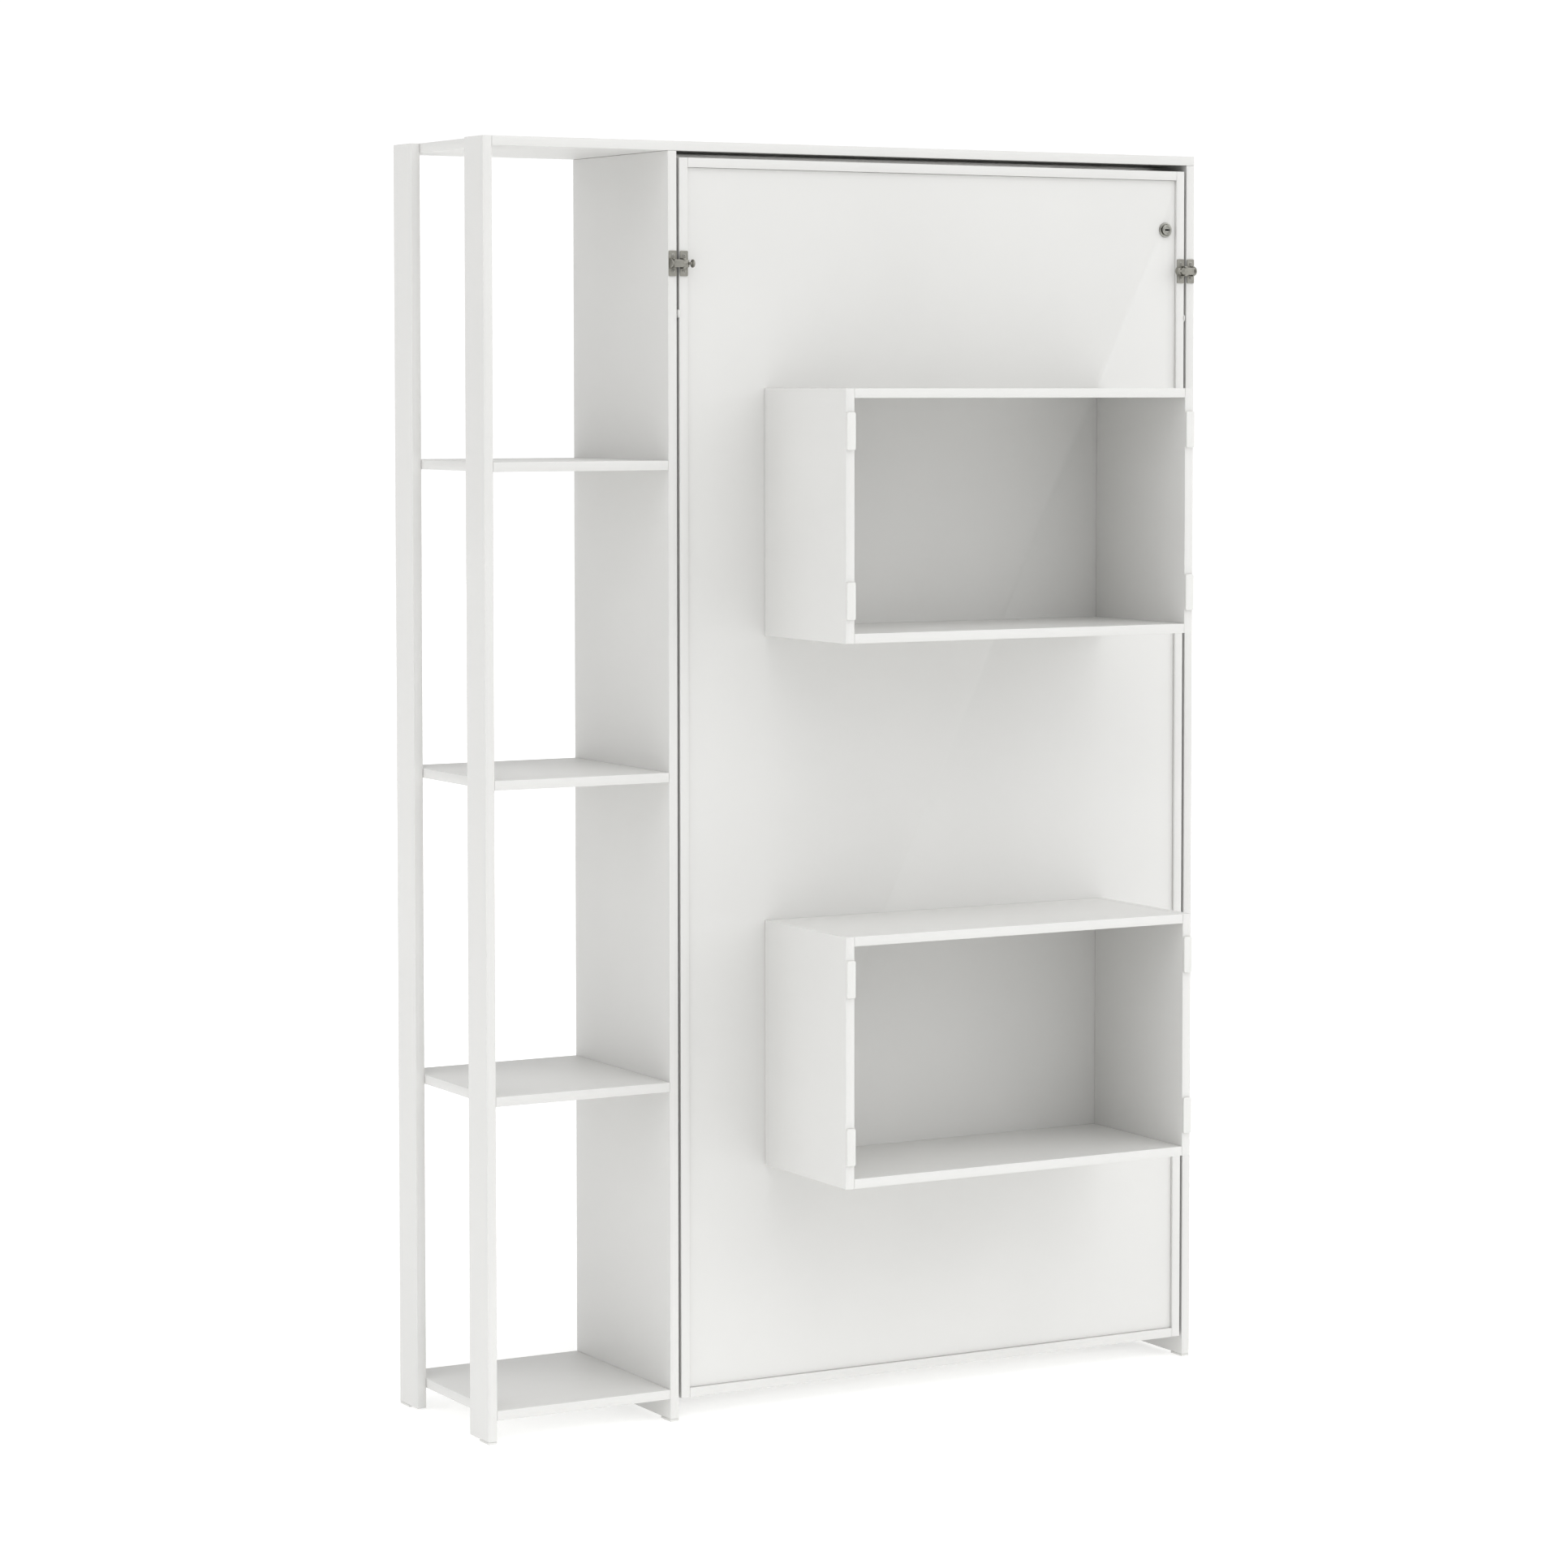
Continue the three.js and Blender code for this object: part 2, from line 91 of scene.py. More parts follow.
def white_room():
    """Four wide soft lights on a faint even fill; the backdrop behind the bed is white."""
    world = bpy.data.worlds.new("white_room")
    world.use_nodes = True
    bpy.context.scene.world = world
    tree = world.node_tree
    tree.nodes.clear()
    way = add_node(tree, "ShaderNodeTexCoord").outputs["Generated"]
    total = FILL_LIGHT
    for name, turn, lift, strength in SOFT_LIGHTS:
        turn, lift = math.radians(turn), math.radians(lift)
        level = math.cos(lift)
        light = (-math.sin(turn) * level, -math.cos(turn) * level, math.sin(lift))
        facing = add_node(
            tree, "ShaderNodeVectorMath", {0: way, 1: light}, label=name, operation="DOT_PRODUCT"
        )
        lit = maths(tree, "MAXIMUM", facing.outputs["Value"], 0.0)
        spread = maths(tree, "POWER", lit, SOFT_EDGE)
        total = maths(tree, "MULTIPLY_ADD", spread, strength, total)
    white = {"Color": (1, 1, 1, 1)}
    lighting = add_node(tree, "ShaderNodeBackground", {**white, "Strength": total}).outputs[0]
    backdrop = add_node(tree, "ShaderNodeBackground", white).outputs[0]
    seen = add_node(tree, "ShaderNodeLightPath").outputs["Is Camera Ray"]
    either = add_node(tree, "ShaderNodeMixShader", {0: seen, 1: lighting, 2: backdrop})
    add_node(tree, "ShaderNodeOutputWorld", {"Surface": either.outputs[0]})


def pale_floor():
    corners = [(x, y, -FLOOR_DROP) for x, y in FLOOR_CORNERS]
    mesh = bpy.data.meshes.new("pale_floor")
    mesh.from_pydata(corners, [], [(0, 1, 2, 3)])
    floor = bpy.data.objects.new("pale_floor", mesh)
    bpy.context.scene.collection.objects.link(floor)
    paint = bpy.data.materials.new("pale_floor")
    paint.use_nodes = True
    shader = paint.node_tree.nodes["Principled BSDF"]
    shader.inputs["Base Color"].default_value = (0.70, 0.70, 0.695, 1)
    shader.inputs["Roughness"].default_value = 0.7
    shader.inputs["Emission Color"].default_value = (1, 1, 1, 1)
    shader.inputs["Emission Strength"].default_value = FLOOR_GLOW
    mesh.materials.append(paint)


# ------------------------------------------------------------------ shader node groups


def add_node(tree, kind, inputs=None, **settings):
    """A new node; each of its inputs is set to a value or linked to another node's socket."""
    node = tree.nodes.new(kind)
    for setting, value in settings.items():
        setattr(node, setting, value)
    for name, value in (inputs or {}).items():
        if isinstance(value, bpy.types.NodeSocket):
            tree.links.new(value, node.inputs[name])
        else:
            node.inputs[name].default_value = value
    return node


def new_group(name, **inputs):
    """An empty shader group and its inputs: floats have a default, and the rest are vectors."""
    group = bpy.data.node_groups.new(name, "ShaderNodeTree")
    for label, value in inputs.items():
        kind = "NodeSocketFloat" if isinstance(value, float) else "NodeSocketVector"
        socket = group.interface.new_socket(label, in_out="INPUT", socket_type=kind)
        if value is not None:
            socket.default_value = value
    return group, add_node(group, "NodeGroupInput").outputs


def group_result(group, **results):
    """Gives a shader group its outputs, all of them floats."""
    for label in results:
        group.interface.new_socket(label, in_out="OUTPUT", socket_type="NodeSocketFloat")
    add_node(group, "NodeGroupOutput", results)
    return group


def maths(tree, operation, *values):
    node = add_node(tree, "ShaderNodeMath", dict(enumerate(values)), operation=operation)
    return node.outputs[0]


def noise(tree, vector, scale, detail=2.0, roughness=0.5):
    inputs = {"Vector": vector, "Scale": scale, "Detail": detail, "Roughness": roughness}
    return add_node(tree, "ShaderNodeTexNoise", inputs).outputs["Fac"]


def ramp(tree, value, low, high):
    """0 below low, 1 above high, smooth between."""
    inputs = {"Value": value, "From Min": low, "From Max": high}
    node = add_node(tree, "ShaderNodeMapRange", inputs, interpolation_type="SMOOTHSTEP")
    return node.outputs["Result"]


def pearl_group():
    """The fine pressed texture of laminated board: small round grains over a faint slow wave."""
    group, given = new_group("pearl_texture", Vector=None, Grain=900.0)
    fine = noise(group, given["Vector"], given["Grain"], 1.0)
    slow = noise(group, given["Vector"], 14.0, 3.0)
    height = maths(group, "MULTIPLY_ADD", slow, 0.15, fine)
    return group_result(group, Height=height, Tone=noise(group, given["Vector"], 2.3, 2.0))


def wear_group():
    """Where a piece's edges are rubbed: the edge faces, broken up by noise."""
    group, given = new_group("edge_wear", Vector=None, Edge=0.0, Amount=0.5)
    patches = ramp(group, noise(group, given["Vector"], 160.0, 4.0, 0.6), 0.42, 0.62)
    worn = maths(group, "MULTIPLY", patches, given["Edge"])
    return group_result(group, Worn=maths(group, "MULTIPLY", worn, given["Amount"]))


def dust_group():
    """Faint dust on whatever faces up."""
    group, given = new_group("dust", Vector=None, Normal=None, Amount=0.2)
    split = add_node(group, "ShaderNodeSeparateXYZ", {0: given["Normal"]}).outputs
    up = ramp(group, split["Z"], 0.55, 0.95)
    cloud = noise(group, given["Vector"], 22.0, 6.0, 0.62)
    dust = maths(group, "MULTIPLY", maths(group, "MULTIPLY", up, cloud), given["Amount"])
    return group_result(group, Dust=dust)


def weave_group():
    """Plain weave: warp and weft threads that pass over and under each other in turn."""
    group, given = new_group("weave", Vector=None, Threads=900.0)
    split = add_node(group, "ShaderNodeSeparateXYZ", {0: given["Vector"]}).outputs
    turn = maths(group, "MULTIPLY", given["Threads"], math.pi)
    across = maths(group, "SINE", maths(group, "MULTIPLY", split["X"], turn))
    along = maths(group, "SINE", maths(group, "MULTIPLY", split["Y"], turn))
    over = maths(group, "MULTIPLY", across, along)
    fuzz = noise(group, given["Vector"], given["Threads"], 2.0)
    height = maths(group, "MULTIPLY_ADD", fuzz, 0.4, maths(group, "ABSOLUTE", over))
    return group_result(group, Height=height, Warp=ramp(group, over, -0.2, 0.2))


def brushed_group():
    """Short fine scratches along one direction, for brushed or drawn metal."""
    group, given = new_group("brushed", Vector=None, Stretch=(1.0, 1.0, 30.0), Scale=60.0)
    inputs = {0: given["Vector"], 1: given["Stretch"]}
    stretched = add_node(group, "ShaderNodeVectorMath", inputs, operation="MULTIPLY")
    return group_result(group, Height=noise(group, stretched.outputs[0], given["Scale"], 3.0, 0.7))

GROUPS = {
    "pearl": pearl_group(),
    "wear": wear_group(),
    "dust": dust_group(),
    "weave": weave_group(),
    "brushed": brushed_group(),
}


# ------------------------------------------------------------------ materials


class Finish:
    """One material being built: its Principled shader, object coordinates and shared groups."""

    def __init__(self, name, colour, roughness, metallic=0.0, **plain):
        self.material = bpy.data.materials.new(name)
        self.material.use_nodes = True
        self.tree = self.material.node_tree
        self.shader = self.tree.nodes["Principled BSDF"].inputs
        self.base = (*colour, 1)
        self.shader["Base Color"].default_value = self.base
        self.shader["Roughness"].default_value = roughness
        self.shader["Metallic"].default_value = metallic
        for socket, value in plain.items():
            self.shader[socket.replace("_", " ")].default_value = value
        self.place = add_node(self.tree, "ShaderNodeTexCoord").outputs["Object"]

    def group(self, name, **values):
        inputs = {"Vector": self.place, **values}
        return add_node(self.tree, "ShaderNodeGroup", inputs, node_tree=GROUPS[name]).outputs

    def tint(self, mask, colour):
        """Mixes a second colour in where the mask is 1."""
        inputs = {"Factor": mask, "A": self.base, "B": (*colour, 1)}
        mix = add_node(self.tree, "ShaderNodeMix", inputs, data_type="RGBA")
        self.base = mix.outputs["Result"]
        self.tree.links.new(self.base, self.shader["Base Color"])

    def wear(self, amount, colour):
        edge = self.attribute("edge")["Fac"]
        self.tint(self.group("wear", Edge=edge, Amount=amount)["Worn"], colour)

    def dust(self, amount, colour):
        normal = add_node(self.tree, "ShaderNodeNewGeometry").outputs["Normal"]
        self.tint(self.group("dust", Normal=normal, Amount=amount)["Dust"], colour)

    def rough(self, value, low, high):
        inputs = {"Value": value, "To Min": low, "To Max": high}
        made = add_node(self.tree, "ShaderNodeMapRange", inputs).outputs["Result"]
        self.tree.links.new(made, self.shader["Roughness"])

    def bump(self, height, depth):
        """Surface relief; depth is the height of a step from 0 to 1, in metres."""
        inputs = {"Height": height, "Distance": depth, "Strength": 1.0}
        made = add_node(self.tree, "ShaderNodeBump", inputs).outputs["Normal"]
        self.tree.links.new(made, self.shader["Normal"])

    def attribute(self, name):
        return add_node(self.tree, "ShaderNodeAttribute", attribute_name=name).outputs


def laminate(name, colour, roughness, grain, depth):
    """White laminated board; the edge band is the same stuff, a little smoother."""
    paint = Finish(name, colour, roughness, IOR=1.5)
    pearl = paint.group("pearl", Grain=grain)
    shade = tuple(c * 0.975 for c in colour)
    paint.tint(ramp(paint.tree, pearl["Tone"], 0.35, 0.7), shade)
    paint.wear(0.12, (0.62, 0.61, 0.58))
    paint.dust(0.10, (0.60, 0.59, 0.56))
    paint.rough(pearl["Height"], roughness - 0.06, roughness + 0.06)
    paint.bump(pearl["Height"], depth)
    return paint.material


def moulded_plastic():
    paint = Finish("white_moulded_plastic", (0.76, 0.76, 0.745), 0.5, IOR=1.46)
    pearl = paint.group("pearl", Grain=1800.0)
    paint.dust(0.2, (0.60, 0.58, 0.54))
    paint.wear(0.25, (0.70, 0.69, 0.66))
    paint.rough(pearl["Height"], 0.42, 0.6)
    paint.bump(pearl["Height"], 0.02 * MM)
    return paint.material


def metal(name, colour, roughness, worn, wear=0.6, stretch=(1, 1, 30), scale=60.0, depth=0.006):
    """Bare or plated metal: scratches, a darker mottle, bright edges, and painted shade, near black, on the floors
    of recesses.
    """
    paint = Finish(name, colour, roughness, 1.0)
    lines = paint.group("brushed", Stretch=stretch, Scale=scale)
    mottle = noise(paint.tree, paint.place, 90.0, 4.0, 0.6)
    paint.tint(ramp(paint.tree, mottle, 0.4, 0.75), tuple(c * 0.82 for c in colour))
    paint.wear(wear, worn)
    # painted shade: the floor of a screw's cross recess or a key slot is painted near black, where shade falls
    paint.tint(paint.attribute("recess")["Fac"], (0.01, 0.01, 0.01))
    paint.rough(lines["Height"], roughness - 0.08, roughness + 0.12)
    paint.bump(lines["Height"], depth * MM)
    return paint.material


def black_enamel():
    paint = Finish("black_enamel", (0.018, 0.018, 0.020), 0.32, Coat_Weight=0.25)
    pearl = paint.group("pearl", Grain=1500.0)
    paint.dust(0.35, (0.25, 0.24, 0.22))
    paint.wear(0.5, (0.22, 0.22, 0.23))
    paint.rough(pearl["Height"], 0.26, 0.42)
    paint.bump(pearl["Height"], 0.03 * MM)
    return paint.material


def beech_wood():
    """Layered beech: long fibres along X, with fine dark pores."""
    paint = Finish("beech_slats", (0.60, 0.42, 0.25), 0.5)
    fibre = paint.group("brushed", Stretch=(1.0, 26.0, 26.0), Scale=9.0)
    paint.tint(ramp(paint.tree, fibre["Height"], 0.42, 0.68), (0.44, 0.28, 0.15))
    pore = paint.group("brushed", Stretch=(4.0, 60.0, 60.0), Scale=22.0)
    paint.tint(ramp(paint.tree, pore["Height"], 0.62, 0.72), (0.30, 0.18, 0.09))
    paint.wear(0.3, (0.68, 0.52, 0.34))
    paint.rough(pore["Height"], 0.42, 0.62)
    paint.bump(pore["Height"], 0.08 * MM)
    return paint.material


def woven(name, colour, shade, threads, depth):
    """Woven fabric; its pattern follows the piece's own attribute, in metres along the cloth."""
    paint = Finish(name, colour, 0.9, Sheen_Weight=0.25, Sheen_Roughness=0.5)
    cloth = paint.attribute("cloth")["Vector"]
    weave = paint.group("weave", Vector=cloth, Threads=threads)
    paint.tint(weave["Warp"], shade)
    slow = ramp(paint.tree, noise(paint.tree, cloth, 7.0, 3.0), 0.35, 0.8)
    paint.tint(maths(paint.tree, "MULTIPLY", slow, 0.35), tuple(c * 0.88 for c in shade))
    paint.rough(weave["Height"], 0.95, 0.8)
    paint.bump(weave["Height"], depth)
    return paint.material

BOARD_FACE = laminate("white_laminate", (0.752, 0.75, 0.738), 0.46, 900.0, 0.035 * MM)
EDGE_BAND = laminate("white_edge_band", (0.775, 0.773, 0.762), 0.40, 1500.0, 0.02 * MM)
PLASTIC = moulded_plastic()
EVEN = (1, 1, 1)
ZINC = metal("zinc_die_cast", (0.40, 0.392, 0.36), 0.46, (0.56, 0.55, 0.52), 0.6, EVEN, 300.0)
NICKEL = metal("satin_nickel", (0.44, 0.44, 0.41), 0.30, (0.66, 0.66, 0.63), stretch=(30, 1, 1))
PLATE_STEEL = metal("zinc_plated_steel", (0.56, 0.57, 0.58), 0.36, (0.70, 0.70, 0.70))
SCREW_STEEL = metal("screw_steel", (0.45, 0.445, 0.42), 0.36, (0.66, 0.66, 0.64), stretch=EVEN)
CHROME = metal("chromed_rod", (0.80, 0.81, 0.82), 0.12, (0.85, 0.85, 0.85), wear=0.1, depth=0.001)
ENAMEL = black_enamel()
BEECH = beech_wood()
TICKING = woven("mattress_ticking", (0.80, 0.79, 0.75), (0.70, 0.69, 0.65), 420.0, 0.12 * MM)
PIPING = woven("mattress_piping", (0.55, 0.56, 0.57), (0.42, 0.43, 0.44), 700.0, 0.1 * MM)
WEBBING = woven("strap_webbing", (0.30, 0.31, 0.32), (0.20, 0.21, 0.22), 480.0, 0.25 * MM)


# ------------------------------------------------------------------ mesh tools


def piece(name, bm, body, slot, *materials):
    """A finished object from a bmesh: at the origin, smooth where it is round, riding on a body."""
    mesh = bpy.data.meshes.new(name)
    bm.to_mesh(mesh)
    bm.free()
    return place_mesh(name, mesh, body, slot, *materials)


def place_mesh(name, mesh, body, slot, *materials):
    mesh.name = name
    mesh.materials.clear()
    for material in materials:
        mesh.materials.append(material)
    mesh.shade_smooth()
    mesh.set_sharp_from_angle(angle=math.radians(35))
    made = bpy.data.objects.new(name, mesh)
    bpy.context.scene.collection.objects.link(made)
    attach(made, body)
    return made


def mark_edges(bm, faces):
    """Writes the attribute that the wear group reads: 1 on the eased edges, 0 elsewhere."""
    layer = bm.loops.layers.float.get("edge") or bm.loops.layers.float.new("edge")
    for face in faces:
        for loop in face.loops:
            loop[layer] = 1.0


def ease(bm, width, angle=30, segments=2):
    """Rounds every sharp edge a little, as pressing, sanding or tumbling does."""
    limit = math.radians(angle)
    sharp = [e for e in bm.edges if len(e.link_faces) == 2 and e.calc_face_angle(0) > limit]
    made = bmesh.ops.bevel(
        bm, geom=sharp, offset=width, segments=segments, profile=0.5, affect="EDGES", clamp_overlap=True
    )
    mark_edges(bm, made["faces"])


def from_cad(node):
    """A merged copy of a CAD node's shape, with flat areas as single faces."""
    bm = bmesh.new()
    bm.from_mesh(frame["nodes"][node].data)
    bmesh.ops.remove_doubles(bm, verts=bm.verts, dist=1e-6)
    bmesh.ops.dissolve_limit(bm, angle_limit=math.radians(1), verts=bm.verts, edges=bm.edges)
    return bm


def body_of(node):
    return next(b for b, nodes in frame["record"]["behaviour"]["bodies"].items() if node in nodes)


def slab(low, high, width=0.0):
    """A box between two corners, with eased edges if a width is given."""
    bm = bmesh.new()
    size = Vector(high) - Vector(low)
    middle = (Vector(high) + Vector(low)) / 2
    bmesh.ops.create_cube(bm, size=1, matrix=Matrix.Translation(middle) @ Matrix.Diagonal((*size, 1)))
    if width:
        ease(bm, width)
    return bm


def merge(bm, other):
    """Adds another bmesh to this one."""
    spare = bpy.data.meshes.new("spare")
    other.to_mesh(spare)
    other.free()
    bm.from_mesh(spare)
    bpy.data.meshes.remove(spare)


def ring_of(bm, outline, z):
    return [bm.verts.new((x, y, z)) for x, y in outline]


def circle(radius, sides=24):
    turns = [2 * math.pi * i / sides for i in range(sides)]
    return [(radius * math.cos(a), radius * math.sin(a)) for a in turns]


def pointing(place, way):
    """The placement that takes local +Z to a direction, at a place."""
    turn = Vector(way).to_track_quat("Z", "Y").to_matrix().to_4x4()
    return Matrix.Translation(Vector(place)) @ turn


def mm(points):
    return [(a * MM, b * MM) for a, b in points]


def turned(profile, place, way, sides=40):
    """A turned piece: (radius, height) points from axis to axis, spun round a direction."""
    bm = bmesh.new()
    rings = []
    for radius, height in profile:
        if radius == 0:
            rings.append([bm.verts.new((0, 0, height))])
            continue
        rings.append(ring_of(bm, circle(radius, sides), height))
    for low, high in zip(rings, rings[1:]):
        for i in range(sides):
            j = (i + 1) % sides
            corners = [low[i % len(low)], low[j % len(low)], high[j % len(high)], high[i % len(high)]]
            bm.faces.new(list(dict.fromkeys(corners)))
    bmesh.ops.recalc_face_normals(bm, faces=bm.faces)
    bm.transform(pointing(place, way))
    return bm


def rounded_outline(width, height, radius, steps=6):
    """The corners of a rounded rectangle round the origin."""
    points = []
    for turn, (sx, sy) in enumerate(((1, 1), (-1, 1), (-1, -1), (1, -1))):
        centre = (sx * (width / 2 - radius), sy * (height / 2 - radius))
        for i in range(steps + 1):
            a = math.pi / 2 * (turn + i / steps)
            points.append((centre[0] + radius * math.cos(a), centre[1] + radius * math.sin(a)))
    return points


def prism(outline, thickness, placement):
    """A plate with this outline, from local z = 0 up to its thickness."""
    bm = bmesh.new()
    low, high = ring_of(bm, outline, 0), ring_of(bm, outline, thickness)
    bm.faces.new(low[::-1])
    bm.faces.new(high)
    for i in range(len(outline)):
        j = (i + 1) % len(outline)
        bm.faces.new((low[i], low[j], high[j], high[i]))
    bm.transform(placement)
    return bm


# ------------------------------------------------------------------ boards

BAND = 1.0 * MM  # thickness of the edge band, seen as a fine line along a board's faces
EASE = 0.45 * MM
PANEL_EASE = 0.15 * MM  # the front panel is let in between the rails, so its joint is tight


def board(node):
    """A laminated board: eased edges, edge band on all four narrow sides."""
    low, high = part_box(node)
    thin = min(range(3), key=lambda i: (high - low)[i])
    wide = [axis for axis in range(3) if axis != thin]
    bm = from_cad(node)
    ease(bm, PANEL_EASE if node == "front_panel" else EASE)
    for axis in wide:
        for at in (low[axis] + BAND, high[axis] - BAND):
            point, normal = [0, 0, 0], [0, 0, 0]
            point[axis], normal[axis] = at, 1
            everything = [*bm.verts, *bm.edges, *bm.faces]
            bmesh.ops.bisect_plane(bm, geom=everything, plane_co=point, plane_no=normal)
    for face in bm.faces:
        middle = face.calc_center_median()
        rim = any(min(middle[a] - low[a], high[a] - middle[a]) < BAND for a in wide)
        face.material_index = 1 if rim or abs(face.normal[thin]) < 0.5 else 0
    made = piece(f"{node}_laminate", bm, body_of(node), "melamine", BOARD_FACE, EDGE_BAND)
    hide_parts(node)


def boards():
    for part in frame["record"]["subparts"]:
        if part["material_slot"] == "melamine":
            board(part["node"])


# ------------------------------------------------------------------ glides and pads


def glides():
    """The nailed glides under the cabinet, and the pads on the cubbies' front edges."""
    for node in frame["nodes"]:
        if not (node.endswith("_glide") or "_pad_" in node):
            continue
        bm = from_cad(node)
        ease(bm, (0.9 if "_pad_" in node else 0.7) * MM, segments=3)
        made = piece(f"{node}_moulding", bm, body_of(node), "white_plastic", PLASTIC)
        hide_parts(node)


BUMPER = {"radius": 7.5 * MM, "rim": 0.8 * MM, "rise": 3.2 * MM, "inset": 5 * MM, "drop": 259 * MM}


def gap_bumpers():
    """Small half-round buffers on the bed's rails, near the front, that centre it in the cabinet."""
    radius, rim, rise = BUMPER["radius"], BUMPER["rim"], BUMPER["rise"]
    dome = [(0, 0), (radius, 0), (radius, rim)]
    steps = 6
    for i in range(1, steps):
        a = math.pi / 2 * i / steps
        dome.append((radius * math.cos(a), rim + (rise - rim) * math.sin(a)))
    dome.append((0, rise))
    for side, way in (("left", -X_WAY), ("right", X_WAY)):
        low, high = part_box(f"{side}_rail")
        x = low.x if side == "left" else high.x
        place = Vector((x, low.y + BUMPER["inset"], high.z - BUMPER["drop"]))
        bm = turned(dome, place, way, 24)
        piece(f"{side}_gap_bumper", bm, "bed", "white_plastic", PLASTIC)


# ------------------------------------------------------------------ pivots and struts


def steelwork():
    """Pivot plates with their pins, the arms, and the struts' brackets."""
    for node, width in (("pivot_plate", 0.5), ("pivot_arm", 0.5), ("strut_bracket", 0.6)):
        for side in ("left", "right"):
            name = f"{side}_{node}"
            bm = from_cad(name)
            ease(bm, width * MM, angle=40)
            made = piece(f"{name}_steel", bm, body_of(name), "steel", PLATE_STEEL)
            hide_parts(name)


def joint(name):
    return next(j for j in frame["joints"] if j["name"] == name)

EYE = 11  # mm, radius of a strut's end


def gas_strut(side):
    """Enamelled tube with two grooves and drawn-in ends, bright rod, a ball socket on each."""
    top = Vector(joint(f"{side}_strut_swing")["pos_m"])
    way = Vector(joint(f"{side}_strut_stroke")["axis"]).normalized()
    rod_low, rod_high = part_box(f"{side}_strut_rod")
    half = (rod_high.x - rod_low.x) / 2
    end = Vector((top.x, 0, rod_low.z + EYE * MM))
    length = (end.z - top.z) / way.z
    end = top + way * length
    inward = X_WAY if side == "left" else -X_WAY

    shape = [(0, 14), (6, 14), (6.2, 21), (7.5, 23.5), (9.3, 24.5), (10, 26.5)]
    shape += [(10, 31), (9.4, 32), (9.4, 33.5), (10, 34.5), (10, 318), (9.4, 319), (9.4, 320.5)]
    shape += [(10, 321.5), (10, 326), (9.2, 328.6), (7.4, 330), (4.4, 330), (4.4, 327), (0, 327)]
    bm = turned(mm(shape), top, way, 48)
    merge(bm, ball_socket(top, way, inward, half / MM))
    made = piece(f"{side}_strut_tube", bm, f"{side}_strut_tube", "black_steel", ENAMEL)
    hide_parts(f"{side}_strut_cylinder")

    reach = length / MM
    rod = [(0, 225), (3.4, 225), (4, 225.8), (4, reach - 24), (4, reach - 14), (0, reach - 14)]
    bm = turned(mm(rod), top, way, 32)
    made = piece(f"{side}_strut_bright_rod", bm, f"{side}_strut_piston", "chrome", CHROME)
    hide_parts(f"{side}_strut_rod")
    bm = ball_socket(end, -way, inward, half / MM)
    piece(f"{side}_strut_rod_socket", bm, f"{side}_strut_piston", "black_steel", ENAMEL)


def ball_socket(place, way, inward, w):
    """A round cup of half width w across the strut, with a neck along it."""
    cup = [(0, -w), (EYE - 1.2, -w), (EYE, -w + 1.2), (EYE, w - 2.4), (EYE - 2.4, w)]
    cup += [(3, w), (2.4, w - 0.8), (0, w - 0.8)]
    bm = turned(mm(cup), place, inward, 40)
    neck = [(0, 6), (6.4, 6), (6.4, 16), (5.6, 17), (5.6, 23), (5, 24), (0, 24)]
    merge(bm, turned(mm(neck), place, way, 6))
    return bm


# ------------------------------------------------------------------ latches


LATCH_PLATE = 1.5 * MM


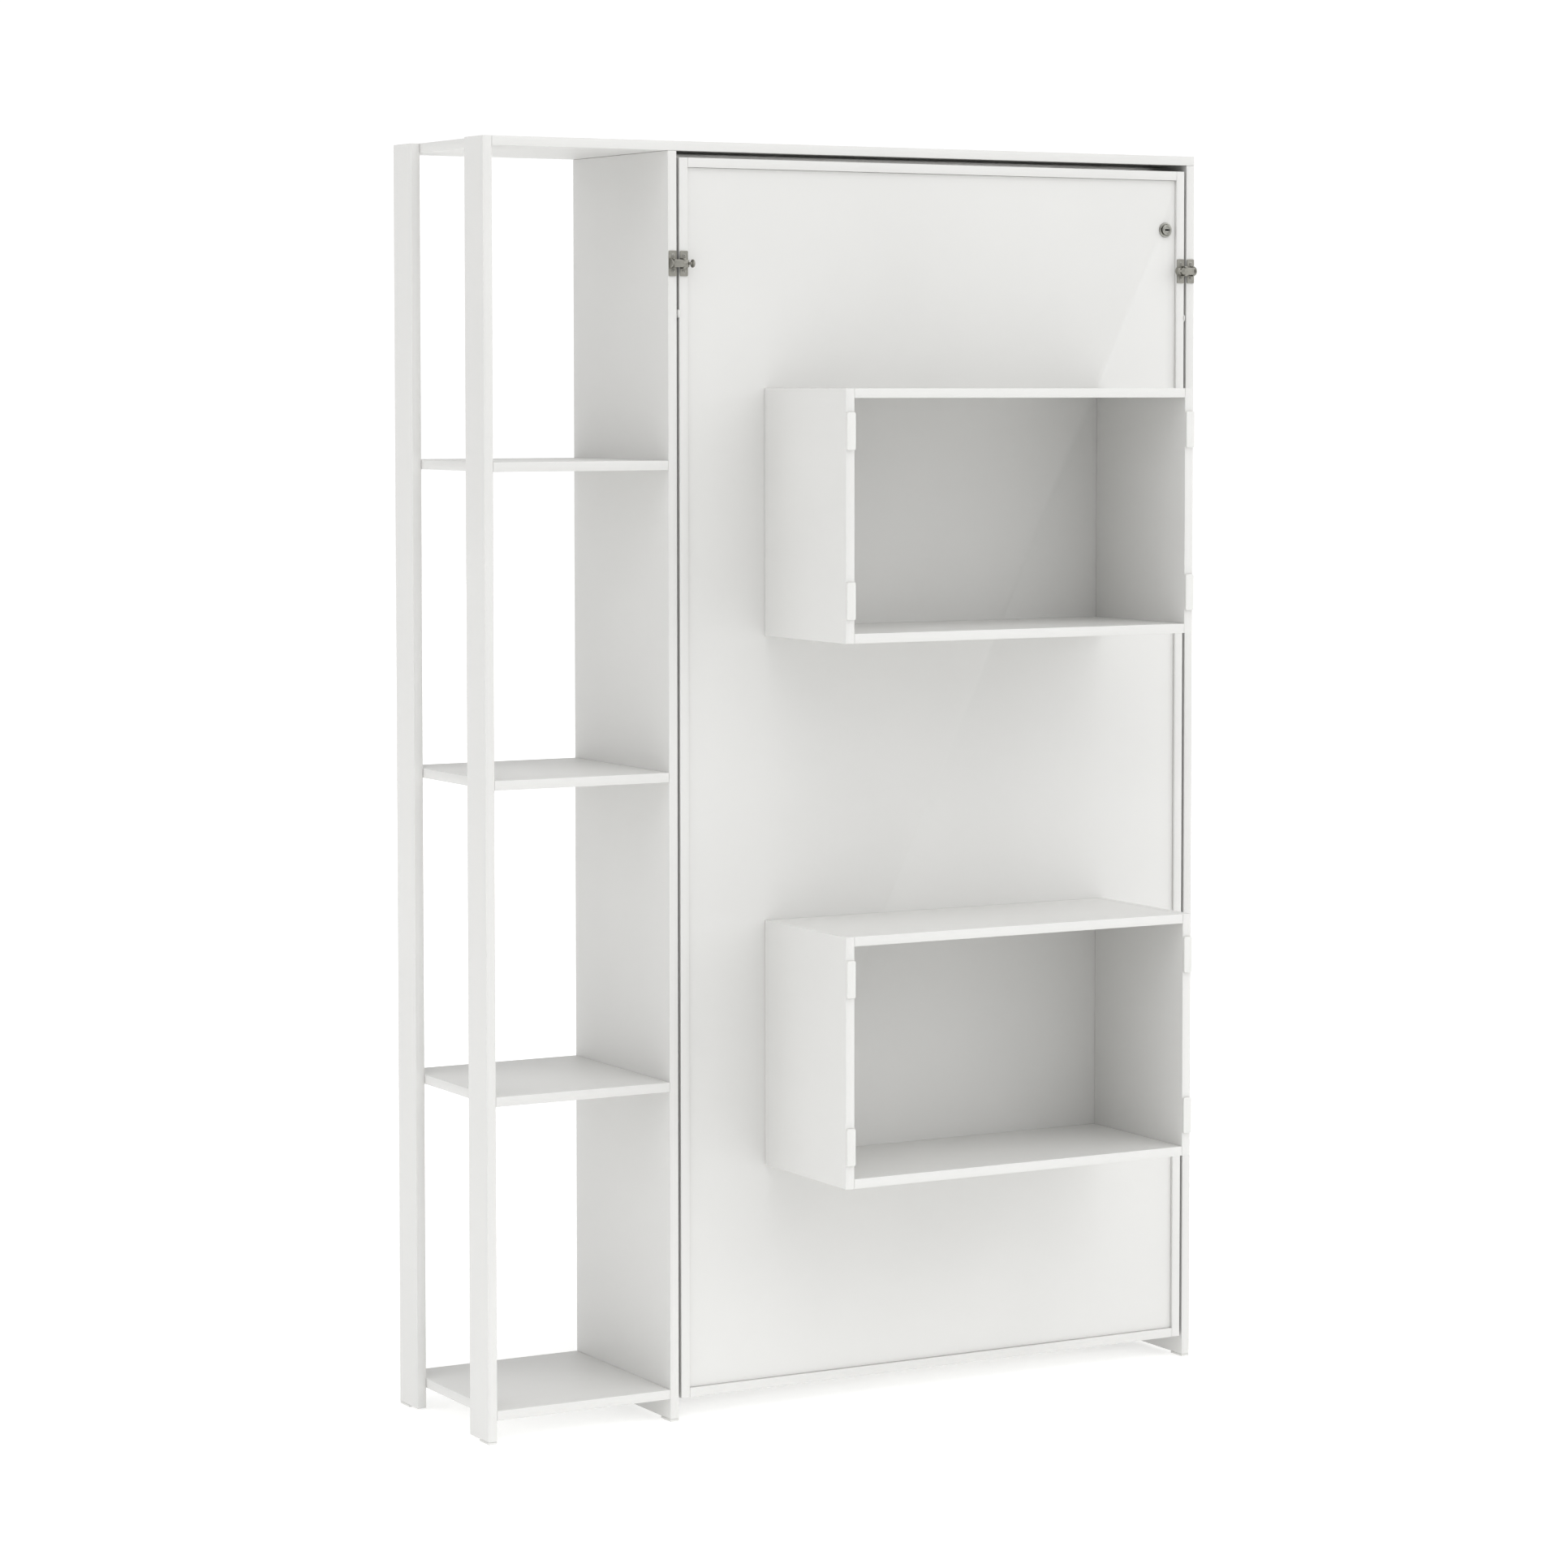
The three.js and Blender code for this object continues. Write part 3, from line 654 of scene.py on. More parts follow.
def latch(side):
    """A sprung slide latch: strike on the cabinet, guide on the bed, bolt with a mushroom knob."""
    inward = 1 if side == "left" else -1
    strike_low, strike_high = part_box(f"{side}_latch_strike")
    body_low, body_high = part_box(f"{side}_latch_body")
    bolt_low, bolt_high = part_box(f"{side}_latch_bolt")
    z = (bolt_low.z + bolt_high.z) / 2
    plate_back = strike_high.y
    plate_front = plate_back - LATCH_PLATE
    tip = bolt_low.x if side == "left" else bolt_high.x
    root = -0.3  # how far the blocks are sunk in their plate, in mm

    def span(near, far):
        """Two distances from the tongue's tip towards the bed's middle, as X values in order."""
        return sorted((tip + inward * near * MM, tip + inward * far * MM))

    def plate(low, high):
        """A plate facing -Y over a node's X and Z."""
        middle, size = (low + high) / 2, high - low
        outline = rounded_outline(size.x, size.z, 1.6 * MM)
        place = Matrix.Translation((middle.x, plate_back, middle.z))
        upright = Matrix.Rotation(math.pi / 2, 4, "X")
        bm = prism(outline, plate_back - plate_front, place @ upright)
        ease(bm, 0.35 * MM)
        return bm

    def lug(bm, up, near, far, front, back, inner, outer, width):
        """A block from mm: along the tongue, in front of the plate, and above or below the bolt."""
        x0, x1 = span(near, far)
        z0, z1 = sorted((z + up * inner * MM, z + up * outer * MM))
        low, high = (x0, plate_front - front * MM, z0), (x1, plate_front - back * MM, z1)
        merge(bm, slab(low, high, width * MM))

    # the strike: a plate, a round-fronted keeper beyond the tongue's tip, and a cheek each side
    bm = plate(strike_low, strike_high)
    keeper_half, keeper_rise, steps = 8.6, 12, 10
    turns = [math.pi * i / steps for i in range(steps + 1)]
    outline = [(keeper_half * math.cos(a), keeper_rise * math.sin(a)) for a in turns]
    x0, x1 = span(-3.6, -0.5)
    foot = plate_front - root * MM
    placement = Matrix(((0, 0, 1, x0), (0, -1, 0, foot), (1, 0, 0, z), (0, 0, 0, 1)))
    keeper = prism(mm(outline), x1 - x0, placement)
    bmesh.ops.recalc_face_normals(keeper, faces=keeper.faces)
    ease(keeper, 0.5 * MM, angle=50)
    merge(bm, keeper)
    for up in (-1, 1):
        lug(bm, up, -0.9, 3.2, 8.5, root, 6.9, 8.6, 0.5)
    made = piece(f"{side}_latch_strike_casting", bm, "cabinet", "zinc", ZINC)
    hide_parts(f"{side}_latch_strike")

    # the guide: a plate, a low bed for the bolt and two lips that hold it
    bm = plate(body_low, body_high)
    start = inward * ((body_low.x if side == "left" else body_high.x) - tip) / MM
    lug(bm, 1, start + 0.2, start + 14.3, 5.6, root, -6.2, 6.2, 0.6)
    for up in (-1, 1):
        lug(bm, up, start + 0.4, start + 5.4, 10.2, root, 6.85, 8.9, 0.6)
        lug(bm, up, start + 0.4, start + 5.4, 11.6, 10.6, 5.8, 8.2, 0.4)
    made = piece(f"{side}_latch_guide_casting", bm, "bed", "zinc", ZINC)
    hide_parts(f"{side}_latch_body")

    # the bolt: a flat bar with a round inner end, a rivet, and the knob on its neck
    front, back = plate_front - 10.2 * MM, plate_front - 6.2 * MM
    half, end = 6.5, 28.6
    outline = [(0.8, -half), (end - half, -half)]
    for i in range(1, 12):
        a = -math.pi / 2 + math.pi * i / 12
        outline.append((end - half + half * math.cos(a), half * math.sin(a)))
    outline += [(end - half, half), (0.8, half), (0, half - 0.8), (0, -half + 0.8)]
    placement = Matrix(((inward, 0, 0, tip), (0, 0, -1, back), (0, 1, 0, z), (0, 0, 0, 1)))
    bm = prism(mm(outline), back - front, placement)
    bmesh.ops.recalc_face_normals(bm, faces=bm.faces)
    ease(bm, 0.5 * MM)
    rivet_x = tip + inward * 20.5 * MM
    rivet = [(0, -0.5), (3.3, -0.5), (3.3, 0.1), (2.6, 0.7), (1.2, 1.0), (0, 1.05)]
    merge(bm, turned(mm(rivet), (rivet_x, front, z), -Y_WAY, 24))
    knob = [(0, 27), (3.6, 27), (3.0, 28.6), (2.1, 30), (2.0, 32), (2.6, 33), (5.2, 33.6), (6.8, 34.6)]
    knob += [(7, 35.6), (6.6, 36.6), (5.4, 37.5), (3.2, 38.1), (0, 38.3)]
    start = Vector((tip, (front + back) / 2, z))
    merge(bm, turned(mm(knob), start, X_WAY * inward, 36))
    made = piece(f"{side}_latch_slide_bolt", bm, f"{side}_bolt", "zinc", ZINC)
    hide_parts(f"{side}_latch_bolt")


# ------------------------------------------------------------------ lock


def cam_lock():
    """Stepped nickel housing, a plug with its key slot, and the cam behind the panel."""
    centre = Vector(joint("lock_turn")["pos_m"])
    panel_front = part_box("front_panel")[0].y
    housing_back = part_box("lock_housing")[1].y
    at = Vector((centre.x, panel_front, centre.z))
    depth = (housing_back - panel_front) / MM
    ring = [(6.1, 6.2), (7.2, 6.4), (8.4, 6.0), (9.0, 5.2), (9.0, 1.0), (9.9, 0.9), (10.3, 2.2)]
    ring += [(11.6, 2.2), (12.6, 1.7), (13, 0.9), (13, 0.3), (9, 0.3), (9, -depth), (6.1, -depth)]
    nut = [(9, -17), (12.2, -17), (12.2, -20.5), (9, -20.5)]
    bm = bmesh.new()
    for outline, sides in ((ring, 64), (nut, 6)):
        merge(bm, turned(mm([*outline, outline[0]]), at, -Y_WAY, sides))
        bmesh.ops.remove_doubles(bm, verts=bm.verts, dist=1e-7)
        bmesh.ops.recalc_face_normals(bm, faces=bm.faces)
    made = piece("lock_escutcheon", bm, "bed", "nickel", NICKEL)
    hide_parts("lock_housing")

    plug_low, plug_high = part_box("lock_plug")
    radius = (plug_high.x - plug_low.x) / 2
    face = at.y - plug_low.y
    back = at.y - plug_high.y
    slot = rounded_outline(9.4 * MM, 2.6 * MM, 0.9 * MM, 3)
    rims = [(radius, back), (radius, face - 0.5 * MM), (radius - 0.5 * MM, face)]
    # the key slot's floor carries painted shade, near black in the nickel
    bm = recessed_disc(rims, slot, face, face - 5 * MM)
    bm.transform(pointing(at, -Y_WAY))
    made = piece("lock_turning_plug", bm, "lock_barrel", "nickel", NICKEL)
    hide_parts("lock_plug")

    bm = from_cad("lock_cam")
    ease(bm, 0.4 * MM, angle=50)
    made = piece("lock_turning_cam", bm, "lock_barrel", "steel", PLATE_STEEL)
    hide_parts("lock_cam")


# ------------------------------------------------------------------ geometry nodes


def geometry_tree(name, **inputs):
    """A geometry node tree with named inputs, and the sockets they come in by."""
    tree = bpy.data.node_groups.new(name, "GeometryNodeTree")
    for label, kind in {"Geometry": "Geometry", **inputs}.items():
        tree.interface.new_socket(label, in_out="INPUT", socket_type=f"NodeSocket{kind}")
    tree.interface.new_socket("Geometry", in_out="OUTPUT", socket_type="NodeSocketGeometry")
    return tree, add_node(tree, "NodeGroupInput").outputs


def finish_tree(tree, instances, material):
    """Ends a tree: its instances are made real and given their material."""
    real = add_node(tree, "GeometryNodeRealizeInstances", {"Geometry": instances}).outputs[0]
    inputs = {"Geometry": real, "Material": material}
    painted = add_node(tree, "GeometryNodeSetMaterial", inputs).outputs[0]
    add_node(tree, "NodeGroupOutput", {"Geometry": painted})
    return tree


def fasteners_tree():
    """Puts a head on every mark, facing the way that the mark says, at a random turn."""
    tree, given = geometry_tree(
        "fasteners_on_marks", Head="Object", Size="Float", Seed="Int", Material="Material"
    )
    head = add_node(tree, "GeometryNodeObjectInfo", {"Object": given["Head"]})
    named = {"Name": "facing"}
    facing = add_node(tree, "GeometryNodeInputNamedAttribute", named, data_type="FLOAT_VECTOR")
    way = {"Vector": facing.outputs["Attribute"]}
    aim = add_node(tree, "FunctionNodeAlignRotationToVector", way, axis="Z")
    most = 3  # the random float's upper limit is its fourth input
    turns = {most: 2 * math.pi, "Seed": given["Seed"]}
    turn = add_node(tree, "FunctionNodeRandomValue", turns, data_type="FLOAT")
    inputs = {"Axis": (0, 0, 1), "Angle": turn.outputs[1]}
    spin = add_node(tree, "FunctionNodeAxisAngleToRotation", inputs)
    inputs = {"Rotation": aim.outputs["Rotation"], "Rotate By": spin.outputs["Rotation"]}
    both = add_node(tree, "FunctionNodeRotateRotation", inputs, rotation_space="LOCAL")
    inputs = {"Points": given["Geometry"], "Instance": head.outputs["Geometry"]}
    inputs |= {"Rotation": both.outputs["Rotation"], "Scale": given["Size"]}
    heads = add_node(tree, "GeometryNodeInstanceOnPoints", inputs)
    return finish_tree(tree, heads.outputs["Instances"], given["Material"])


def slats_tree():
    """A row of bowed slats along Z, from the tree's own sizes."""
    sizes = dict.fromkeys(("Pitch", "Length", "Width", "Thickness", "Bow"), "Float")
    tree, given = geometry_tree("bowed_slats", Count="Int", **sizes, Material="Material")

    def vector(**parts):
        return add_node(tree, "ShaderNodeCombineXYZ", parts).outputs[0]

    size = vector(X=given["Length"], Y=given["Thickness"], Z=given["Width"])
    inputs = {"Size": size, "Vertices X": 25, "Vertices Y": 2, "Vertices Z": 3}
    slat = add_node(tree, "GeometryNodeMeshCube", inputs)
    place = add_node(tree, "GeometryNodeInputPosition").outputs[0]
    x = add_node(tree, "ShaderNodeSeparateXYZ", {0: place}).outputs["X"]
    share = maths(tree, "DIVIDE", x, given["Length"])
    square = maths(tree, "MULTIPLY", share, share)
    lift = maths(tree, "MULTIPLY_ADD", square, -4.0, 1.0)
    bow = vector(Y=maths(tree, "MULTIPLY", lift, given["Bow"]))
    inputs = {"Geometry": slat.outputs["Mesh"], "Offset": bow}
    bowed = add_node(tree, "GeometryNodeSetPosition", inputs)
    inputs = {"Count": given["Count"], "Offset": vector(Z=given["Pitch"])}
    line = add_node(tree, "GeometryNodeMeshLine", inputs)
    inputs = {"Points": line.outputs["Mesh"], "Instance": bowed.outputs["Geometry"]}
    row = add_node(tree, "GeometryNodeInstanceOnPoints", inputs)
    return finish_tree(tree, row.outputs["Instances"], given["Material"])


def grown(name, tree, values, base=None):
    """Runs a tree once, with its inputs set by their identifiers, and keeps the plain mesh."""
    start = base or bpy.data.meshes.new(f"{name}_start")
    holder = bpy.data.objects.new(f"{name}_holder", start)
    bpy.context.scene.collection.objects.link(holder)
    modifier = holder.modifiers.new("nodes", "NODES")
    modifier.node_group = tree
    for item in tree.interface.items_tree:
        if item.item_type == "SOCKET" and item.in_out == "INPUT" and item.name in values:
            modifier[item.identifier] = values[item.name]
    graph = bpy.context.evaluated_depsgraph_get()
    mesh = bpy.data.meshes.new_from_object(holder.evaluated_get(graph), depsgraph=graph)
    holder.modifiers.remove(modifier)
    bpy.data.objects.remove(holder)
    return mesh


# ------------------------------------------------------------------ fasteners


def head_object(name, bm):
    """A head shape that the fastener tree copies; it never shows itself."""
    mesh = bpy.data.meshes.new(name)
    bm.to_mesh(mesh)
    bm.free()
    mesh.shade_smooth()
    mesh.set_sharp_from_angle(angle=math.radians(35))
    made = bpy.data.objects.new(name, mesh)
    bpy.context.scene.collection.objects.link(made)
    return made


def recessed_disc(rims, recess, face_z, floor_z):
    """A disc built from (radius, height) rims, with a recess of some outline cut in its face; the recess floor is
    marked for painted shade.
    """
    bm = bmesh.new()
    painted_shade_layer = bm.verts.layers.float.new("recess")
    rings = [ring_of(bm, circle(radius), z) for radius, z in rims]
    mouth = ring_of(bm, recess, face_z)
    floor = ring_of(bm, recess, floor_z)
    for low, high in [*zip(rings, rings[1:]), (mouth, floor)]:
        for i in range(len(low)):
            j = (i + 1) % len(low)
            bm.faces.new((low[i], low[j], high[j], high[i]))
    bm.faces.new(floor)
    bm.faces.new(rings[0][::-1])
    open_edges = [e for e in bm.edges if e.is_boundary and set(e.verts) <= {*rings[-1], *mouth}]
    bmesh.ops.bridge_loops(bm, edges=open_edges)
    bmesh.ops.recalc_face_normals(bm, faces=bm.faces)
    # marks the recess floor for painted shade, which the metal paints near black
    for vert in floor:
        vert[painted_shade_layer] = 1.0
    return bm


def cross(arm, half):
    """The outline of a cross recess."""
    corners = [(arm, -half), (arm, half), (half, half), (half, arm), (-half, arm), (-half, half)]
    return [*corners, *[(-x, -y) for x, y in corners]]


def screw_head():
    """A head of unit radius, sunk in its dark countersink, with a cross recess whose floor carries painted shade.
    """
    rims = [(1.0, -0.2), (1.0, 0.02), (0.93, 0.04), (0.84, -0.18), (0.76, 0.08), (0.62, 0.14)]
    return head_object("screw_head_shape", recessed_disc(rims, cross(0.46, 0.15), 0.16, -0.5))


def cover_cap():
    """A thin round cap of unit radius with a soft edge."""
    profile = [(0, -0.04), (1, -0.04), (1, 0.05), (0.97, 0.1), (0.88, 0.13), (0.5, 0.15), (0, 0.155)]
    return head_object("cover_cap_shape", turned(profile, (0, 0, 0), Z_WAY, 32))


def marks_mesh(marks):
    """Points with the way each one faces."""
    mesh = bpy.data.meshes.new("marks")
    mesh.from_pydata([place for place, way in marks], [], [])
    facing = mesh.attributes.new("facing", "FLOAT_VECTOR", "POINT")
    facing.data.foreach_set("vector", [c for place, way in marks for c in way])
    return mesh


def around(node, way, inset_a, inset_b, axes):
    """Four places near the corners of a node's face that looks along a direction."""
    low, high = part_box(node)
    middle = (low + high) / 2
    face = [high[i] if way[i] > 0.5 else low[i] if way[i] < -0.5 else middle[i] for i in range(3)]
    a, b = axes
    marks = []
    for end_a in (low[a] + inset_a, high[a] - inset_a):
        for end_b in (low[b] + inset_b, high[b] - inset_b):
            place = list(face)
            place[a], place[b] = end_a, end_b
            marks.append((tuple(place), tuple(way)))
    return marks


LATCH_SCREW_RISE = 13.2 * MM  # above and below the bolt
FIXING_PLATES = (  # node, plate thickness, screw insets from its front and lower edges
    ("pivot_plate", 2.5 * MM, (13 * MM, 12 * MM)),
    ("strut_bracket", 3 * MM, (9 * MM, 10 * MM)),
)
ARM_PLATE = 4 * MM
ARM_SCREWS = (-14 * MM, 29 * MM, 51 * MM)  # behind the pivot, one above and one below each
ARM_SCREW_RISE = 29 * MM
CAP_FROM_END = 34 * MM


def latch_screws(part):
    """A screw above and one below each bolt, on the plate's front."""
    marks = []
    for side in ("left", "right"):
        low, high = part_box(f"{side}_latch_{part}")
        x, z = (low.x + high.x) / 2, (low.z + high.z) / 2
        for rise in (-LATCH_SCREW_RISE, LATCH_SCREW_RISE):
            marks.append(((x, high.y - LATCH_PLATE, z + rise), (0, -1, 0)))
    return marks


def fasteners():
    """Every screw and cover cap, one mesh for each body and kind."""
    tree = fasteners_tree()
    screw, cap = screw_head(), cover_cap()
    pivot = joint("bed_fold")["pos_m"]

    plates, arms, walls, shelves = [], [], [], []
    for side, way in (("left", X_WAY), ("right", -X_WAY)):
        for node, thickness, insets in FIXING_PLATES:
            low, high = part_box(f"{side}_{node}")
            x = low.x + thickness if side == "left" else high.x - thickness
            for place, facing in around(f"{side}_{node}", way, *insets, (1, 2)):
                plates.append(((x, *place[1:]), facing))
        low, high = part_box(f"{side}_pivot_arm")
        x = low.x + ARM_PLATE if side == "left" else high.x - ARM_PLATE
        for behind in ARM_SCREWS:
            for rise in (-ARM_SCREW_RISE, ARM_SCREW_RISE):
                place = (x, pivot[1] + behind, (low.z + high.z) / 2 + rise)
                arms.append((place, tuple(way)))
    for node in ("top_wall_rail", "bottom_wall_rail"):
        low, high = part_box(node)
        for share in (0.08, 0.36, 0.64, 0.92):
            x = low.x + (high.x - low.x) * share
            walls.append(((x, low.y, (low.z + high.z) / 2), (0, -1, 0)))
    for node in ("bottom_shelf", "lower_shelf", "middle_shelf", "upper_shelf"):
        shelves += around(node, -Z_WAY, CAP_FROM_END, 60 * MM, (0, 1))
    boxes = around("lower_cubby_bottom", -Z_WAY, CAP_FROM_END, 55 * MM, (0, 1))
    boxes += around("upper_cubby_bottom", -Z_WAY, CAP_FROM_END, 55 * MM, (0, 1))
    boxes += around("head_rail", Z_WAY, CAP_FROM_END, 36 * MM, (0, 1))
    boxes += around("foot_rail", -Z_WAY, CAP_FROM_END, 36 * MM, (0, 1))

    sets = (  # name, head, marks, radius in mm, material, body, slot
        ("strike_screws", screw, latch_screws("strike"), 3.9, SCREW_STEEL, "cabinet", "zinc"),
        ("guide_screws", screw, latch_screws("body"), 3.9, SCREW_STEEL, "bed", "zinc"),
        ("plate_screws", screw, plates, 3.6, SCREW_STEEL, "cabinet", "steel"),
        ("arm_screws", screw, arms, 3.8, SCREW_STEEL, "bed", "steel"),
        ("wall_rail_screws", screw, walls, 5.5, SCREW_STEEL, "cabinet", "steel"),
        ("cabinet_cover_caps", cap, shelves, 8.5, PLASTIC, "cabinet", "white_plastic"),
        ("bed_cover_caps", cap, boxes, 8.5, PLASTIC, "bed", "white_plastic"),
    )
    for seed, (name, head, marks, radius, material, body, slot) in enumerate(sets, 3):
        values = {"Head": head, "Size": radius * MM, "Seed": seed, "Material": material}
        mesh = grown(name, tree, values, marks_mesh(marks))
        place_mesh(name, mesh, body, slot, material)
    for shape in (screw, cap):
        bpy.data.objects.remove(shape)


# ------------------------------------------------------------------ slatted base


def slatted_base():
    low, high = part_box("slatted_base")
    count = 15
    width, thickness, bow = 62 * MM, 9 * MM, 4 * MM
    bearer, depth = 24 * MM, 22 * MM
    pitch = (high.z - low.z - width) / (count - 1)
    values = {
        "Count": count,
        "Pitch": pitch,
        "Length": high.x - low.x - 6 * MM,
        "Width": width,
        "Thickness": thickness - 1 * MM,
        "Bow": -bow,
        "Material": BEECH,
    }
    mesh = grown("bowed_slats", slats_tree(), values)
    bm = bmesh.new()
    bm.from_mesh(mesh)
    bmesh.ops.translate(
        bm, verts=bm.verts, vec=((low.x + high.x) / 2, high.y - thickness / 2, low.z + width / 2)
    )
    ease(bm, 1.2 * MM, angle=60)
    for x in (low.x, high.x - bearer):
        merge(bm, slab((x, low.y, low.z), (x + bearer, low.y + depth, high.z), 1.5 * MM))
    made = piece("beech_slatted_base", bm, "bed", "beech", BEECH)
    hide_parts("slatted_base")


# ------------------------------------------------------------------ mattress

QUILT = 10  # cells of the mesh from one quilting seam to the next
SEAM_DEPTH = 8.5 * MM
CELL = 14 * MM


def rounded_block(low, high, radius, cell):
    """A closed box of square cells with round edges. Returns vertices, quads and grid places."""
    size = high - low
    counts = [max(2, round(size[i] / cell)) for i in range(3)]
    index, points, grid = {}, [], []

    def vertex(i, j, k):
        if (i, j, k) not in index:
            share = Vector((i / counts[0], j / counts[1], k / counts[2]))
            place = Vector(low[a] + size[a] * share[a] for a in range(3))
            inner = Vector(
                min(max(place[a], low[a] + radius), high[a] - radius) for a in range(3)
            )
            out = place - inner
            if out.length > radius * 0.999:
                place = inner + out.normalized() * radius
            index[i, j, k] = len(points)
            points.append(place)
            grid.append((i, j, k))
        return index[i, j, k]

    quads = []
    for axis in range(3):
        a, b = [i for i in range(3) if i != axis]
        for end in (0, counts[axis]):
            for u in range(counts[a]):
                for v in range(counts[b]):
                    corners = []
                    for du, dv in ((0, 0), (1, 0), (1, 1), (0, 1)):
                        at = [0, 0, 0]
                        at[axis], at[a], at[b] = end, u + du, v + dv
                        corners.append(vertex(*at))
                    quads.append(corners)
    return points, quads, grid, counts


def swell(made, seams, cap):
    """Blows the cover up between its seams by cloth simulation, and keeps the result."""
    rest = np.array([v.co for v in made.data.vertices])
    held = made.vertex_groups.new(name="seams")
    held.add(seams, 1.0, "REPLACE")
    cloth = made.modifiers.new("cloth", "CLOTH")
    settings = cloth.settings
    settings.quality = 4
    settings.mass = 0.3
    settings.tension_stiffness = settings.compression_stiffness = 12
    settings.shear_stiffness = 6
    settings.bending_stiffness = 0.4
    settings.use_pressure = True
    settings.uniform_pressure_force = 4
    settings.shrink_min = -0.04
    settings.vertex_group_mass = "seams"
    settings.effector_weights.gravity = 0
    cloth.point_cache.frame_start, cloth.point_cache.frame_end = 1, 20
    scene = bpy.context.scene
    for step in range(1, 21):
        scene.frame_set(step)
    graph = bpy.context.evaluated_depsgraph_get()
    swollen = made.evaluated_get(graph).data
    now = np.array([v.co for v in swollen.vertices])
    made.modifiers.remove(cloth)
    made.vertex_groups.remove(held)
    scene.frame_set(1)
    move = now - rest
    far = np.linalg.norm(move, axis=1, keepdims=True)
    move *= np.minimum(1, cap / np.maximum(far, 1e-9))
    made.data.vertices.foreach_set("co", (rest + move).ravel())
    made.data.update()


def cloth_places(mesh):
    """Writes each corner's place along the cloth, in metres, as the fabric's pattern reads it."""
    layer = mesh.attributes.new("cloth", "FLOAT_VECTOR", "CORNER")
    values = np.zeros(len(mesh.loops) * 3)
    for face in mesh.polygons:
        n = face.normal
        flat = max(range(3), key=lambda i: abs(n[i]))
        a, b = [i for i in range(3) if i != flat]
        for loop in face.loop_indices:
            co = mesh.vertices[mesh.loops[loop].vertex_index].co
            values[3 * loop : 3 * loop + 3] = (co[a], co[b], 0.3 * flat)
    layer.data.foreach_set("vector", values)


def mattress():
    node_low, node_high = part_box("mattress")
    puff = 9 * MM
    low = Vector((node_low.x + 4 * MM, node_low.y + puff, node_low.z + 4 * MM))
    high = Vector((node_high.x - 4 * MM, node_high.y - puff, node_high.z - 4 * MM))
    points, quads, grid, counts = rounded_block(low, high, 26 * MM, CELL)
    mesh = bpy.data.meshes.new("quilted_mattress")
    mesh.from_pydata(points, [], quads)
    bm = bmesh.new()
    bm.from_mesh(mesh)
    bmesh.ops.recalc_face_normals(bm, faces=bm.faces)
    bm.to_mesh(mesh)
    bm.free()

    seams, depth = [], {}
    for n, (i, j, k) in enumerate(grid):
        inside = 3 <= i <= counts[0] - 3 and 3 <= k <= counts[2] - 3
        if j in (0, counts[1]) and inside and ((i + k) % QUILT == 0 or (i - k) % QUILT == 0):
            seams.append(n)
            depth[n] = SEAM_DEPTH if j == 0 else -SEAM_DEPTH
        rim = j in (0, counts[1]) and (min(i, counts[0] - i) == 2 or min(k, counts[2] - k) == 2)
        band = 1 < j < counts[1] - 1
        if rim or band:
            seams.append(n)
            depth.setdefault(n, 0.0)
    for n, move in depth.items():
        mesh.vertices[n].co.y += move

    made = bpy.data.objects.new("quilted_mattress", mesh)
    bpy.context.scene.collection.objects.link(made)
    swell(made, seams, puff - 1 * MM)
    bpy.data.objects.remove(made)
    cloth_places(mesh)
    made = place_mesh("quilted_mattress", mesh, "bed", "ticking", TICKING)
    soften = made.modifiers.new("soften", "SUBSURF")
    soften.levels = soften.render_levels = 1
    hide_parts("mattress")

    for name, y in (("front", low.y + 5 * MM), ("back", high.y - 5 * MM)):
        piping(f"mattress_{name}_piping", low, high, y)


def skin(rings, lengths, across, closed):
    """Joins rings of points; each corner's place across and along is written for the pattern."""
    bm = bmesh.new()
    layer = bm.loops.layers.float_vector.new("cloth")
    rings = [[bm.verts.new(point) for point in ring] for ring in rings]
    count = len(across) - 1
    for i, low in enumerate(rings if closed else rings[:-1]):
        high = rings[(i + 1) % len(rings)]
        for s in range(count):
            t = (s + 1) % count
            face = bm.faces.new((low[s], low[t], high[t], high[s]))
            corners = ((i, s), (i, s + 1), (i + 1, s + 1), (i + 1, s))
            for loop, (n, turn) in zip(face.loops, corners):
                loop[layer] = (across[turn], lengths[n], 0)
    if not closed:
        bm.faces.new(rings[0])
        bm.faces.new(rings[-1][::-1])
    bmesh.ops.recalc_face_normals(bm, faces=bm.faces)
    return bm


def piping(name, low, high, y):
    """The round cord sewn into the seam between the mattress's panel and its side band."""
    middle = (low + high) / 2
    outline = rounded_outline(high.x - low.x - 9 * MM, high.z - low.z - 9 * MM, 24 * MM, 8)
    corners = [Vector((middle.x + x, y, middle.z + z)) for x, z in outline]
    path = []
    for start, end in zip(corners, corners[1:] + corners[:1]):
        steps = max(1, round((end - start).length / (25 * MM)))
        path += [start.lerp(end, i / steps) for i in range(steps)]
    radius, sides = 3.6 * MM, 10
    rings, lengths = [], [0.0]
    for i, point in enumerate(path):
        ahead, behind = path[(i + 1) % len(path)], path[i - 1]
        lengths.append(lengths[-1] + (ahead - point).length)
        way = (ahead - behind).normalized()
        side = way.cross(Y_WAY).normalized()
        lift = way.cross(side)
        rings.append([point + u * side + v * lift for u, v in circle(radius, sides)])
    across = [2 * math.pi * radius * s / sides for s in range(sides + 1)]
    piece(name, skin(rings, lengths, across, True), "bed", "ticking", PIPING)


# ------------------------------------------------------------------ straps

STRAPS = (("upper_strap", 1.62), ("lower_strap", 1.08))  # heights with the bed closed


